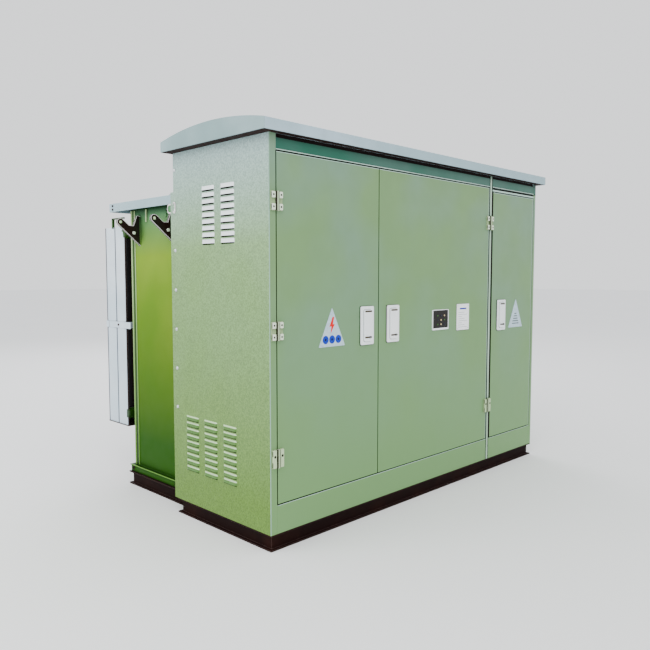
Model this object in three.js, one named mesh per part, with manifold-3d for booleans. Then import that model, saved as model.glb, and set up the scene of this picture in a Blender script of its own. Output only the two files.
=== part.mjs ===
// Pad-mounted transformer: a three-door cabinet on a channel base, bolted to a rear oil tank with
// panel radiators. Millimetres, +Z up. The front faces -Y. X = 0 is the middle of the front, and the
// pieces are placed with Y = 0 at the cabinet's front face and Z = 0 on the ground.
import * as THREE from "three";
import { mergeVertices } from "three/addons/utils/BufferGeometryUtils.js";
import Module from "manifold-3d";

const wasm = await Module();
wasm.setup();

// ---------- driving dimensions ----------
const GAP = 0.3; // between pieces that touch
const SHEET = 3; // cabinet sheet thickness

const WIDTH = 2500;
const CABINET_DEPTH = 787;
const BASE_HEIGHT = 80;
const ROOF_UNDERSIDE = 1955;
const EAVE_HEIGHT = 52;
const ROOF_RISE = 45; // of the barrel, above the eave's top
const OVERHANG = { side: 62, front: 42, rear: 20 };

const LEFT_STRIP = 41; // the side panel's return beside the left door
const RIGHT_STRIP = 30; // and beside the right door
const SILL_TOP = 218;
const DOOR_BOTTOM = 224;
const DOOR_TOP = 1874;
const RIGHT_DOOR_TOP = 1850;
const HEADER_BOTTOM = 1882;
const HEADER_TOP = 1936; // the gap above it, under the roof, ventilates the cabinet
const DOOR_DEPTH = 30;
const LEFT_DOOR_LEFT = -1205;
const SEAM_X = -478; // between the left and middle doors
const SEAM_GAP = 6;
const MIDDLE_DOOR_RIGHT = 628;
const POST = { left: 642, right: 661 };
const STOP = { y: 34, besidePost: 30, seamWidth: 46 }; // the flanges that the doors close against
const RIGHT_DOOR_LEFT = 681;
const RIGHT_DOOR_RIGHT = 1215;

const TANK_LEFT = -1140;
const TANK_REAR = 1435;
const TANK_FOOT_TOP = 123;
const TANK_TOP = 1737;
const TANK_WALL = 5;
const PLATE_REAR = 815; // of the tank's front plate, with its rim
const PLATE_THICK = 10;
const COVER_TOP = 1752;
const COVER_BOTTOM = 1701;
const COVER_X = 1196;
const COVER_REAR = 1598;
const RADIATOR = { front: 1491, rear: 1743, bottom: 354, top: 1610 };

const HALF = WIDTH / 2;
const PLATE_FRONT = CABINET_DEPTH + GAP;
const PLATE_BACK = PLATE_FRONT + PLATE_THICK; // the face that the tank meets

// ---------- materials ----------
const paint = (color, roughness = 0.45, metalness = 0.1) =>
  new THREE.MeshStandardMaterial({ color, roughness, metalness });
const GREEN = paint("#8fa98c");
const TANK_GREEN = paint("#7f9d4c");
const ROOF_GREY = paint("#b4c4cb");
const RADIATOR_GREY = paint("#d3dce4");
const BLACK = paint("#23100f", 0.6);
const WHITE = paint("#eef2f5", 0.35, 0);
const STEEL = paint("#c9ced0", 0.35, 0.8);
const RUBBER = paint("#1d1d1f", 0.9, 0);
const COPPER = paint("#b4693a", 0.4, 0.8);
const IRON = paint("#55585c", 0.5, 0.6);
const EPOXY = paint("#7b2f26", 0.3, 0);
const DARK_PLASTIC = paint("#1b1f22", 0.4, 0);
const RED = paint("#b3261e", 0.4, 0);

// ---------- solids ----------
function solid(geometry) {
  const plain = geometry.index ? geometry.toNonIndexed() : geometry.clone();
  plain.deleteAttribute("normal");
  plain.deleteAttribute("uv");
  const merged = mergeVertices(plain, 1e-4);
  const vertProperties = new Float32Array(merged.attributes.position.array);
  const triVerts = new Uint32Array(merged.index.array);
  return new wasm.Manifold(new wasm.Mesh({ numProp: 3, vertProperties, triVerts }));
}

function join(...solids) {
  return solids.flat().reduce((sum, next) => sum.add(next));
}

function cut(body, ...tools) {
  return tools.flat().reduce((rest, tool) => rest.subtract(tool), body);
}

// A block between two values on each axis.
function block([x0, x1], [y0, y1], [z0, z1]) {
  const geometry = new THREE.BoxGeometry(x1 - x0, y1 - y0, z1 - z0);
  return solid(geometry.translate((x0 + x1) / 2, (y0 + y1) / 2, (z0 + z1) / 2));
}

function lay(...axes) {
  return new THREE.Matrix4().makeBasis(...axes.map((axis) => new THREE.Vector3(...axis)));
}

// How a flat outline's own axes lie in the part when it is extruded along x, y or z.
const LAY = {
  x: lay([0, 1, 0], [0, 0, 1], [1, 0, 0]),
  y: lay([1, 0, 0], [0, 0, 1], [0, -1, 0]),
  z: lay([1, 0, 0], [0, 1, 0], [0, 0, 1]),
};

// Extrudes an outline from a to b: (y, z) points along x, (x, z) points along y, (x, y) points along z.
function prism(axis, outline, [a, b]) {
  const points = Array.isArray(outline) && outline.map(([u, v]) => new THREE.Vector2(u, v));
  const shape = points ? new THREE.Shape(points) : outline;
  const options = { depth: b - a, bevelEnabled: false, curveSegments: 6 };
  const geometry = new THREE.ExtrudeGeometry(shape, options);
  geometry.applyMatrix4(LAY[axis]);
  const start = { x: [a, 0, 0], y: [0, b, 0], z: [0, 0, a] }[axis];
  return solid(geometry.translate(...start));
}

// A round bar from a to b along y or z, through the point given by its other two coordinates.
function rod(axis, [u, v], radius, [a, b], sides = 12) {
  const geometry = new THREE.CylinderGeometry(radius, radius, b - a, sides);
  const middle = (a + b) / 2;
  if (axis === "y") geometry.translate(u, middle, v);
  if (axis === "z") geometry.rotateX(Math.PI / 2).translate(u, v, middle);
  return solid(geometry);
}

// A turned piece that points to -Y from the plane y: [radius, distance in front of the plane] points,
// from the axis at the back to the axis at the front.
function turned([x, z], y, profile, sides = 14) {
  const points = profile.map(([radius, out]) => new THREE.Vector2(radius, out));
  const geometry = new THREE.LatheGeometry(points, sides).rotateX(Math.PI).translate(x, y, z);
  return solid(geometry);
}

function roundedOutline([x0, x1], [z0, z1], radius) {
  const shape = new THREE.Shape();
  shape.moveTo(x0 + radius, z0);
  shape.lineTo(x1 - radius, z0);
  shape.absarc(x1 - radius, z0 + radius, radius, -Math.PI / 2, 0);
  shape.lineTo(x1, z1 - radius);
  shape.absarc(x1 - radius, z1 - radius, radius, 0, Math.PI / 2);
  shape.lineTo(x0 + radius, z1);
  shape.absarc(x0 + radius, z1 - radius, radius, Math.PI / 2, Math.PI);
  shape.lineTo(x0, z0 + radius);
  shape.absarc(x0 + radius, z0 + radius, radius, Math.PI, Math.PI * 1.5);
  return shape;
}

function mirrored(body) {
  return body.mirror([1, 0, 0]);
}

const part = new THREE.Group();

function add(name, body, material) {
  const { numProp, vertProperties, triVerts } = body.getMesh();
  const count = vertProperties.length / numProp;
  const positions = new Float32Array(count * 3);
  for (let i = 0; i < count; i++) {
    positions.set(vertProperties.subarray(i * numProp, i * numProp + 3), i * 3);
  }
  const geometry = new THREE.BufferGeometry();
  geometry.setAttribute("position", new THREE.BufferAttribute(positions, 3));
  geometry.setIndex(new THREE.BufferAttribute(triVerts, 1));
  geometry.computeVertexNormals();
  const mesh = new THREE.Mesh(geometry, material);
  mesh.name = name;
  part.add(mesh);
}

// ---------- base frames ----------
const CHANNEL = { flange: 48, recess: 18, web: 7, thick: 8 };

// A rectangle of channels with their open side outwards.
function channelRing([x0, x1], [y0, y1], height) {
  const ring = (inset, width, z) => {
    const outer = block([x0 + inset, x1 - inset], [y0 + inset, y1 - inset], z);
    const hole = inset + width;
    return cut(outer, block([x0 + hole, x1 - hole], [y0 + hole, y1 - hole], [z[0] - 1, z[1] + 1]));
  };
  return join(
    ring(0, CHANNEL.flange, [0, CHANNEL.thick]),
    ring(CHANNEL.recess, CHANNEL.web, [CHANNEL.thick - 1, height - CHANNEL.thick + 1]),
    ring(0, CHANNEL.flange, [height - CHANNEL.thick, height]),
  );
}

const SKID = { x: 1175, front: 790, rear: 1456 };
add("base_frame", channelRing([-HALF, HALF], [0, CABINET_DEPTH], BASE_HEIGHT), BLACK);
add("tank_skid", channelRing([-SKID.x, SKID.x], [SKID.front, SKID.rear], BASE_HEIGHT), BLACK);

// ---------- side panels with louvre slots ----------
const SHELL_Z = [BASE_HEIGHT + GAP, ROOF_UNDERSIDE - GAP];
const LOUVRE_ROWS = 9;
const LOUVRE_BANKS = [
  { columns: [[258, 366], [420, 524]], bottom: 1463, pitch: 33.5 },
  { columns: [[257, 363], [416, 527], [578, 690]], bottom: 260, pitch: 34 },
];
const SLOT = { height: 9, inset: 4 }; // inset: from the ends of its column

function louvreSlots() {
  const slots = [];
  for (const bank of LOUVRE_BANKS) {
    for (const [y0, y1] of bank.columns) {
      for (let row = 0; row < LOUVRE_ROWS; row++) {
        const z = bank.bottom + row * bank.pitch;
        const x = [-HALF - 1, -HALF + SHEET + 1];
        slots.push(block(x, [y0 + SLOT.inset, y1 - SLOT.inset], [z, z + SLOT.height]));
      }
    }
  }
  return slots;
}

const REAR_RETURN = 34;

// The left panel's folded section: a front strip with a jamb, the side and a rear return.
function sidePanel(strip) {
  const JAMB = 26;
  const jambX = -HALF + strip;
  const returnX = -HALF + REAR_RETURN;
  const outline = [
    [-HALF, 0], [jambX, 0], [jambX, JAMB], [jambX - SHEET, JAMB], [jambX - SHEET, SHEET],
    [-HALF + SHEET, SHEET], [-HALF + SHEET, CABINET_DEPTH - SHEET],
    [returnX, CABINET_DEPTH - SHEET], [returnX, CABINET_DEPTH], [-HALF, CABINET_DEPTH],
  ];
  return cut(prism("z", outline, SHELL_Z), louvreSlots());
}

add("left_side_panel", sidePanel(LEFT_STRIP), GREEN);
add("right_side_panel", mirrored(sidePanel(RIGHT_STRIP)), GREEN);

// ---------- headers, sills and divider post ----------
const FLANGE_Y = 31;
const LEFT_STRIP_X = -HALF + LEFT_STRIP + GAP;
const RIGHT_STRIP_X = HALF - RIGHT_STRIP - GAP;
const MAIN_SPAN = [LEFT_STRIP_X, POST.left - 8];
const AUX_SPAN = [POST.right + 8, RIGHT_STRIP_X];

// Headers and sills are folded sheets, drawn in Y and Z.
const headerTop = [
  [SHEET, HEADER_BOTTOM + SHEET], [SHEET, HEADER_TOP - SHEET], [FLANGE_Y, HEADER_TOP - SHEET],
  [FLANGE_Y, HEADER_TOP], [0, HEADER_TOP], [0, HEADER_BOTTOM],
];
const mainHeader = [
  [FLANGE_Y, HEADER_BOTTOM], [FLANGE_Y, HEADER_BOTTOM + SHEET], ...headerTop,
];
const BAND = { bottom: 1856, top: 1877, groove: 12 }; // the rail over the right door
const auxHeader = [
  [0, BAND.bottom], [FLANGE_Y, BAND.bottom], [FLANGE_Y, BAND.bottom + SHEET], [SHEET, BAND.bottom + SHEET],
  [SHEET, BAND.top - SHEET], [BAND.groove, BAND.top - SHEET], [BAND.groove, HEADER_BOTTOM + SHEET],
  ...headerTop, [BAND.groove - SHEET, HEADER_BOTTOM], [BAND.groove - SHEET, BAND.top], [0, BAND.top],
];
const SILL_BOTTOM = SHELL_Z[0];
const sill = [
  [0, SILL_BOTTOM], [FLANGE_Y, SILL_BOTTOM], [FLANGE_Y, SILL_BOTTOM + SHEET], [SHEET, SILL_BOTTOM + SHEET],
  [SHEET, SILL_TOP - SHEET], [FLANGE_Y, SILL_TOP - SHEET], [FLANGE_Y, SILL_TOP], [0, SILL_TOP],
];

// The right door's concealed pivots, near its right edge, turn in holes in the band and the sill.
const PIVOT = { x: RIGHT_DOOR_RIGHT - 9, y: 9, radius: 5, clearance: 0.4, length: 14 };
const pivotHole = rod(
  "z", [PIVOT.x, PIVOT.y], PIVOT.radius + PIVOT.clearance, [SILL_TOP - 10, BAND.bottom + 10]);

add("main_header", prism("x", mainHeader, MAIN_SPAN), GREEN);
add("right_header", cut(prism("x", auxHeader, AUX_SPAN), pivotHole), GREEN);
add("main_sill", prism("x", sill, MAIN_SPAN), GREEN);
add("right_sill", cut(prism("x", sill, AUX_SPAN), pivotHole), GREEN);

// The post carries the barrier wall between the low-voltage and auxiliary compartments.
const BARRIER_REAR = CABINET_DEPTH - SHEET - GAP;

function dividerPost() {
  const middle = (POST.left + POST.right) / 2;
  const strip = block([POST.left, POST.right], [0, SHEET], SHELL_Z);
  const wall = block([middle - SHEET / 2, middle + SHEET / 2], [SHEET - 1, BARRIER_REAR], SHELL_Z);
  const stopX = [POST.left - STOP.besidePost, POST.right + STOP.besidePost];
  const stop = block(stopX, [STOP.y, STOP.y + SHEET], SHELL_Z);
  return join(strip, wall, stop);
}

function highVoltageBarrier() {
  const wall = block([SEAM_X - SHEET / 2, SEAM_X + SHEET / 2], [STOP.y, BARRIER_REAR], SHELL_Z);
  const stopX = [SEAM_X - STOP.seamWidth / 2, SEAM_X + STOP.seamWidth / 2];
  return join(wall, block(stopX, [STOP.y, STOP.y + SHEET], SHELL_Z));
}

add("divider_post", dividerPost(), GREEN);
add("high_voltage_barrier", highVoltageBarrier(), GREEN);
add("rear_upper_panel", block(
  [-HALF + REAR_RETURN + 1, HALF - REAR_RETURN - 1],
  [CABINET_DEPTH - SHEET, CABINET_DEPTH],
  [COVER_TOP + 3, SHELL_Z[1]],
), GREEN);

// ---------- roof ----------
function roof() {
  const front = -OVERHANG.front;
  const rear = CABINET_DEPTH + OVERHANG.rear;
  const eaveTop = ROOF_UNDERSIDE + EAVE_HEIGHT;
  const barrel = (inset) => {
    const half = (rear - front) / 2;
    const radius = (half * half + ROOF_RISE * ROOF_RISE) / (2 * ROOF_RISE);
    const reach = Math.asin((half - inset) / radius);
    const shape = new THREE.Shape();
    const middle = (front + rear) / 2;
    shape.moveTo(front + inset, ROOF_UNDERSIDE + inset);
    shape.lineTo(rear - inset, ROOF_UNDERSIDE + inset);
    const centre = eaveTop + ROOF_RISE - radius - inset;
    shape.absarc(middle, centre, radius, Math.PI / 2 - reach, Math.PI / 2 + reach);
    return shape;
  };
  const x = HALF + OVERHANG.side;
  const outside = prism("x", barrel(0), [-x, x]);
  const inside = prism("x", barrel(SHEET), [-x + SHEET, x - SHEET]);
  const LIP = 20; // the underside's reach over the cabinet's walls
  const mouthZ = [ROOF_UNDERSIDE - 1, ROOF_UNDERSIDE + SHEET + 1];
  const mouth = block([-HALF + LIP, HALF - LIP], [LIP, CABINET_DEPTH - LIP], mouthZ);
  return cut(outside, inside, mouth);
}
add("roof_cap", roof(), ROOF_GREY);

// ---------- tank ----------
const BUSHING_HOLE = 31;
const HIGH_BUSHINGS = [-1050, -900, -750].map((x) => [x, 1150]);
const LOW_BUSHINGS = [-330, -150, 30, 210].map((x) => [x, 1180]);
const RELIEF = { x: -60, z: 1560, radius: 16, socket: 34 }; // the pressure relief valve

function tankFrontPlate() {
  const RIM = 4;
  const pan = cut(
    block([-HALF, HALF], [PLATE_FRONT, PLATE_REAR], [BASE_HEIGHT + GAP, COVER_TOP]),
    block([-HALF + RIM, HALF - RIM], [PLATE_BACK, PLATE_REAR + 1], [BASE_HEIGHT - 1, COVER_TOP - RIM]),
  );
  const holes = [...HIGH_BUSHINGS, ...LOW_BUSHINGS].map((place) =>
    rod("y", place, BUSHING_HOLE, [PLATE_FRONT - 1, PLATE_BACK + 1], 14));
  const valve = [RELIEF.x, RELIEF.z];
  const mouthY = PLATE_FRONT - RELIEF.socket;
  const socket = rod("y", valve, RELIEF.radius + 9, [mouthY, PLATE_FRONT + 1], 14);
  const bore = rod("y", valve, RELIEF.radius + 0.5, [mouthY - 1, PLATE_FRONT - 1], 14);
  return cut(join(pan, socket), bore, holes);
}

// Places on a lug are given as the distance out from the tank's wall and the height.
const LUG = {
  y: [956, 1332],
  thick: 12,
  bottom: 1484,
  top: 1664,
  ear: 22, // the width of its upper tab
  notch: [[44, 1604], [74, 1606], [116, 1641]],
  hook: { out: 129, z: 1623, radius: 21 },
  eye: { out: 44, z: 1562, radius: 17 },
};

// A welded lifting lug on the left wall: a plate with a slanted lower edge, a rounded hook and a notch.
function liftingLug(y) {
  const { hook, eye, thick } = LUG;
  const shape = new THREE.Shape();
  shape.moveTo(TANK_LEFT + 2, LUG.bottom);
  shape.lineTo(TANK_LEFT + 2, LUG.top);
  shape.lineTo(TANK_LEFT - LUG.ear, LUG.top);
  LUG.notch.forEach(([out, z]) => shape.lineTo(TANK_LEFT - out, z));
  shape.absarc(TANK_LEFT - hook.out, hook.z, hook.radius, Math.PI * 0.3, Math.PI * 1.2, false);
  const plate = prism("y", shape, [y - thick / 2, y + thick / 2]);
  return cut(plate, rod("y", [TANK_LEFT - eye.out, eye.z], eye.radius, [y - thick, y + thick], 14));
}

function tankShell() {
  const RIM = { out: 40, thick: 6 };
  const FOOT = { out: 28, thick: 6, web: 20 }; // an angle along the bottom of the walls
  const right = -TANK_LEFT;
  const front = PLATE_BACK + GAP;
  const bottom = BASE_HEIGHT + GAP;
  const walls = cut(
    block([TANK_LEFT, right], [front, TANK_REAR], [bottom, TANK_TOP]),
    block(
      [TANK_LEFT + TANK_WALL, right - TANK_WALL],
      [front - 1, TANK_REAR - TANK_WALL],
      [TANK_FOOT_TOP, TANK_TOP + 1]),
  );
  const rimZ = [TANK_TOP - RIM.thick, TANK_TOP];
  const rim = cut(
    block([TANK_LEFT - RIM.out, right + RIM.out], [PLATE_REAR + 3, TANK_REAR + RIM.out], rimZ),
    block([TANK_LEFT + 1, right - 1], [front - 1, TANK_REAR - 1], [rimZ[0] - 1, rimZ[1] + 1]),
  );
  const footY = [PLATE_REAR + 3, TANK_REAR + FOOT.out - 10];
  const ledge = [TANK_FOOT_TOP - FOOT.thick, TANK_FOOT_TOP];
  const foot = join(
    block([TANK_LEFT - FOOT.out, right + FOOT.out], footY, ledge),
    block([TANK_LEFT - FOOT.web, right + FOOT.web], footY, [bottom, ledge[0] + 1]),
  );
  const lugs = LUG.y.map(liftingLug);
  return join(walls, rim, foot, lugs, lugs.map(mirrored));
}

add("tank_front_plate", tankFrontPlate(), TANK_GREEN);
add("tank_shell", tankShell(), TANK_GREEN);

const GASKET_TOP = TANK_TOP + GAP + 5;

function coverGasket() {
  const OUT = 36; // from the wall's face to its outer edge
  const IN = 10;
  const z = [TANK_TOP + GAP, GASKET_TOP];
  return cut(
    block([TANK_LEFT - OUT, -TANK_LEFT + OUT], [PLATE_REAR + 5, TANK_REAR + OUT], z),
    block([TANK_LEFT + IN, -TANK_LEFT - IN], [PLATE_REAR + 35, TANK_REAR - IN], [z[0] - 1, z[1] + 1]),
  );
}
add("cover_gasket", coverGasket(), RUBBER);

function tankCover() {
  const SKIRT = 4;
  const y = [PLATE_REAR + GAP, COVER_REAR];
  const outside = block([-COVER_X, COVER_X], y, [COVER_BOTTOM, COVER_TOP]);
  const under = block(
    [-COVER_X + SKIRT, COVER_X - SKIRT], [y[0] - 1, y[1] - SKIRT], [COVER_BOTTOM - 1, GASKET_TOP + GAP]);
  return cut(outside, under);
}
add("tank_cover", tankCover(), ROOF_GREY);

// ---------- core and coils ----------
const CORE_Y = (PLATE_BACK + TANK_REAR) / 2;
const COIL = { pitch: 560, outer: 235, inner: 132, bottom: 470, top: 1230 };
const LIMB = 178;
const YOKE = 170;

function core() {
  const CLAMP = { away: 100, thick: 26, drop: 160, height: 90, over: 60 };
  const FOOT = { half: 60, halfDepth: 140 };
  const y = [CORE_Y - LIMB / 2, CORE_Y + LIMB / 2];
  const reach = COIL.pitch + LIMB / 2;
  const limbs = [-1, 0, 1].map((i) =>
    block([i * COIL.pitch - LIMB / 2, i * COIL.pitch + LIMB / 2], y, [COIL.bottom - 60, COIL.top + 60]));
  const yokes = [COIL.bottom - 30 - YOKE, COIL.top + 30].map((z) =>
    block([-reach, reach], y, [z, z + YOKE]));
  const clampZ = [COIL.bottom - CLAMP.drop, COIL.bottom - CLAMP.drop + CLAMP.height];
  const clamps = [-1, 1].map((side) => {
    const middle = CORE_Y + side * CLAMP.away;
    const clampY = [middle - CLAMP.thick / 2, middle + CLAMP.thick / 2];
    return block([-reach - CLAMP.over, reach + CLAMP.over], clampY, clampZ);
  });
  const feet = [-1, 1].map((side) => block(
    [side * COIL.pitch - FOOT.half, side * COIL.pitch + FOOT.half],
    [CORE_Y - FOOT.halfDepth, CORE_Y + FOOT.halfDepth],
    [TANK_FOOT_TOP + GAP, clampZ[0] + 10]));
  return join(limbs, yokes, clamps, feet);
}

function coil(x) {
  const { outer, inner, bottom, top } = COIL;
  const ring = new THREE.LatheGeometry(
    [[inner, bottom], [outer, bottom], [outer, top], [inner, top], [inner, bottom]].map(
      ([radius, z]) => new THREE.Vector2(radius, z)),
    20);
  return solid(ring.rotateX(Math.PI / 2).translate(x, CORE_Y, 0));
}

add("core", core(), IRON);
["a", "b", "c"].forEach((phase, i) => add("coil_" + phase, coil((i - 1) * COIL.pitch), COPPER));

// ---------- radiators ----------
const PANELS = 9;
const PANEL_THICK = 14;
const BANK_WIDTH = 560;
const BANKS_REACH = 1157; // from the middle to the outer panel of the side banks
const BANK_PITCH = BANKS_REACH - BANK_WIDTH / 2;
const PIPE = 70; // the square headers' side
const HEADER_Y = [RADIATOR.front - 18, RADIATOR.front - 18 + PIPE];
const HEADER_Z = [RADIATOR.bottom + 45, RADIATOR.top - 75].map((z) => [z, z + PIPE]);
const STRAP = { z: [975, 1015], y: [RADIATOR.rear - 40, RADIATOR.rear - 34] };
const HOOK = { front: 1500, rear: 1650, post: 18, top: 1668, arm: 8 }; // on each bank's first panel

function radiatorBank(middle) {
  const left = middle - BANK_WIDTH / 2;
  const right = middle + BANK_WIDTH / 2;
  const pitch = (BANK_WIDTH - PANEL_THICK) / (PANELS - 1);
  const panels = [];
  for (let i = 0; i < PANELS; i++) {
    const x = left + i * pitch;
    const panelX = [x, x + PANEL_THICK];
    panels.push(block(panelX, [RADIATOR.front, RADIATOR.rear], [RADIATOR.bottom, RADIATOR.top]));
  }
  const headers = HEADER_Z.map((z) => block([left + 5, right - 5], HEADER_Y, z));
  const stubs = HEADER_Z.map(([low, high]) =>
    block([middle - 40, middle + 40], [TANK_REAR + GAP, HEADER_Y[0] + 1], [low + 2, high - 2]));
  const strap = block([left + 1, right - 1], STRAP.y, STRAP.z);
  const hookX = [left, left + PANEL_THICK];
  const hook = join(
    block(hookX, [HOOK.rear - HOOK.post, HOOK.rear], [RADIATOR.top - 2, HOOK.top]),
    block(hookX, [HOOK.front, HOOK.rear], [HOOK.top - HOOK.arm, HOOK.top]),
  );
  return join(panels, headers, stubs, strap, hook);
}

["left", "middle", "right"].forEach((side, i) =>
  add("radiator_" + side, radiatorBank((i - 1) * BANK_PITCH), RADIATOR_GREY));

// ---------- hinges ----------
const HINGE = { height: 90, axisY: -8.5, barrel: 7, pin: 3, leafThick: 4, inner: 8 };
const PAD = { front: -10, inner: 12, outer: 3, ends: 4, middle: 14 }; // the raised pads under the screws
const HINGE_Z = { top: 1648, middle: 1048, bottom: 446 };
const LEFT_HINGE_X = -1207;
const MIDDLE_HINGE_X = 636;
const FRAME_LEAF_WIDTH = 38;

// side is -1 or +1: where the leaf lies from the pin. The outer leaf has the end barrels and the pin.
function hingeLeaf(x, z, side, width, holdsPin) {
  const half = HINGE.height / 2;
  const third = HINGE.height / 6;
  const across = (near, far) => (side < 0 ? [x - far, x - near] : [x + near, x + far]);
  const front = -GAP - HINGE.leafThick;
  const leaf = block(across(HINGE.inner, width), [front, -GAP], [z - half, z + half]);
  const padSpans = [[z - half + PAD.ends, z - PAD.middle], [z + PAD.middle, z + half - PAD.ends]];
  const pads = padSpans.map((span) =>
    block(across(PAD.inner, width - PAD.outer), [PAD.front, -GAP - 1], span));
  const axis = [x, HINGE.axisY];
  const spans = holdsPin
    ? [[z - half, z - third - GAP], [z + third + GAP, z + half]]
    : [[z - third, z + third]];
  const barrels = spans.map((span) => rod("z", axis, HINGE.barrel, span, 10));
  const webs = spans.map((span) => block(across(2, HINGE.inner + 1), [front, -GAP - 1], span));
  const body = join(leaf, pads, barrels, webs);
  const pin = rod("z", axis, HINGE.pin, [z - half, z + half], 8);
  const pinHole = rod("z", axis, HINGE.pin + GAP, [z - half - 1, z + half + 1], 8);
  return holdsPin ? body.add(pin) : cut(body, pinHole);
}

// A pair of leaves; doorSide is -1 or +1, where the door lies from the pin.
function addHinge(name, x, z, doorSide, doorLeafWidth) {
  add(name + "_frame_leaf", hingeLeaf(x, z, -doorSide, FRAME_LEAF_WIDTH, true), STEEL);
  add(name + "_door_leaf", hingeLeaf(x, z, doorSide, doorLeafWidth, false), STEEL);
}

for (const place of ["top", "middle", "bottom"]) {
  addHinge("left_hinge_" + place, LEFT_HINGE_X, HINGE_Z[place], 1, 34);
}
for (const place of ["top", "bottom"]) {
  addHinge("middle_hinge_" + place, MIDDLE_HINGE_X, HINGE_Z[place], -1, 38);
}

// ---------- doors with their locks ----------
const LOCK = { width: 104, height: 204, thick: 6, z: 1042, pivotUp: 62, spindle: 8 };
const LEVER = { width: 62, bottom: 958, top: 1126, thick: 11 };
const LOCKS = [
  { door: "left", x: -577, cam: 88 },
  { door: "middle", x: -360, cam: -105 },
  { door: "right", x: 796, cam: -102 },
];
const CAM = { y: [15, 21], half: 12, boss: 15, end: 22 }; // the latch tongue behind the door's sheet
const LEVER_BACK = -LOCK.thick - 2 * GAP;
const PIVOT_Z = LOCK.z + LOCK.pivotUp;

function spindleHole(x, y) {
  return rod("y", [x, PIVOT_Z], LOCK.spindle + 0.5, y, 12);
}

// A folded pan, open at the back.
function doorPan(x, z) {
  const inset = (span) => [span[0] + SHEET, span[1] - SHEET];
  return cut(block(x, [0, DOOR_DEPTH], z), block(inset(x), [SHEET, DOOR_DEPTH + 1], inset(z)));
}

const WINDOW = { x: [12, 176], z: [981, 1103], border: 15 }; // the meter window in the middle door
const DOOR_Z = [DOOR_BOTTOM, DOOR_TOP];
const RIGHT_DOOR_Z = [DOOR_BOTTOM, RIGHT_DOOR_TOP];
const LEFT_DOOR_X = [LEFT_DOOR_LEFT, SEAM_X - SEAM_GAP / 2];
const RIGHT_DOOR_X = [RIGHT_DOOR_LEFT, RIGHT_DOOR_RIGHT];
const MIDDLE_DOOR_X = [SEAM_X + SEAM_GAP / 2, MIDDLE_DOOR_RIGHT];

const THROUGH_SHEET = [-1, SHEET + 1];

function leftDoor() {
  return cut(doorPan(LEFT_DOOR_X, DOOR_Z), spindleHole(LOCKS[0].x, THROUGH_SHEET));
}

function middleDoor() {
  const inside = (span) => [span[0] + WINDOW.border, span[1] - WINDOW.border];
  const opening = block(inside(WINDOW.x), THROUGH_SHEET, inside(WINDOW.z));
  return cut(doorPan(MIDDLE_DOOR_X, DOOR_Z), spindleHole(LOCKS[1].x, THROUGH_SHEET), opening);
}

function rightDoor() {
  const pan = cut(doorPan(RIGHT_DOOR_X, RIGHT_DOOR_Z), spindleHole(LOCKS[2].x, THROUGH_SHEET));
  const pins = [
    [DOOR_BOTTOM - PIVOT.length, DOOR_BOTTOM + SHEET],
    [RIGHT_DOOR_TOP - SHEET, RIGHT_DOOR_TOP + PIVOT.length],
  ].map((span) => rod("z", [PIVOT.x, PIVOT.y], PIVOT.radius, span));
  return join(pan, pins);
}

add("left_door", leftDoor(), GREEN);
add("middle_door", middleDoor(), GREEN);
add("right_door", rightDoor(), GREEN);

function lockPlate(x) {
  const halfW = LOCK.width / 2;
  const halfH = LOCK.height / 2;
  const outline = roundedOutline([x - halfW, x + halfW], [LOCK.z - halfH, LOCK.z + halfH], 8);
  const plate = prism("y", outline, [-GAP - LOCK.thick, -GAP]);
  return cut(plate, spindleHole(x, [-LOCK.thick - 1, 1]));
}

// The lever with its spindle through the door and the latch cam behind it.
function swingHandle(x, cam) {
  const outline = roundedOutline([x - LEVER.width / 2, x + LEVER.width / 2], [LEVER.bottom, LEVER.top], 10);
  const lever = prism("y", outline, [LEVER_BACK - LEVER.thick, LEVER_BACK]);
  const spindle = rod("y", [x, PIVOT_Z], LOCK.spindle, [LEVER_BACK - 1, CAM.end], 12);
  const tongueX = [Math.min(x, x + cam), Math.max(x, x + cam)];
  const tongue = block(tongueX, CAM.y, [PIVOT_Z - CAM.half, PIVOT_Z + CAM.half]);
  const boss = rod("y", [x, PIVOT_Z], CAM.boss, [CAM.y[0] - 1, CAM.end], 12);
  return join(lever, spindle, tongue, boss);
}

for (const { door, x, cam } of LOCKS) {
  add(door + "_lock_plate", lockPlate(x), WHITE);
  add(door + "_swing_handle", swingHandle(x, cam), WHITE);
}

// ---------- plates on the doors ----------
const SIGN = { width: 190, bottom: 949, top: 1145, thick: 2 };
const SIGN_Y = [-GAP - SIGN.thick, -GAP];

function triangleSign(x) {
  const half = SIGN.width / 2;
  return prism("y", [[x - half, SIGN.bottom], [x + half, SIGN.bottom], [x, SIGN.top]], SIGN_Y);
}
add("left_warning_plate", triangleSign(-841), STEEL);
add("right_warning_plate", triangleSign(994), STEEL);
add("meter_window", prism("y", roundedOutline(WINDOW.x, WINDOW.z, 6), [-GAP - 4, -GAP]), DARK_PLASTIC);
add("rating_plate", prism("y", roundedOutline([269, 405], [967, 1130], 4), SIGN_Y), WHITE);

// ---------- fittings on the tank's front plate ----------
const SHANK = BUSHING_HOLE - 1;
const SHANK_DEPTH = -PLATE_THICK - 45;

const highBushing = [
  [0, SHANK_DEPTH], [SHANK - 8, SHANK_DEPTH], [SHANK, SHANK_DEPTH + 20], [SHANK, GAP], [62, GAP], [62, 12],
  [46, 16], [40, 70], [30, 74], [24, 140], [0, 140],
];
const lowBushing = [
  [0, SHANK_DEPTH], [SHANK, SHANK_DEPTH], [SHANK, GAP], [58, GAP], [58, 12], [38, 18], [52, 34], [36, 46],
  [48, 60], [24, 72], [14, 80], [14, 100], [0, 100],
];

HIGH_BUSHINGS.forEach((place, i) =>
  add("high_voltage_bushing_" + "abc"[i], turned(place, PLATE_FRONT, highBushing), EPOXY));

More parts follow.
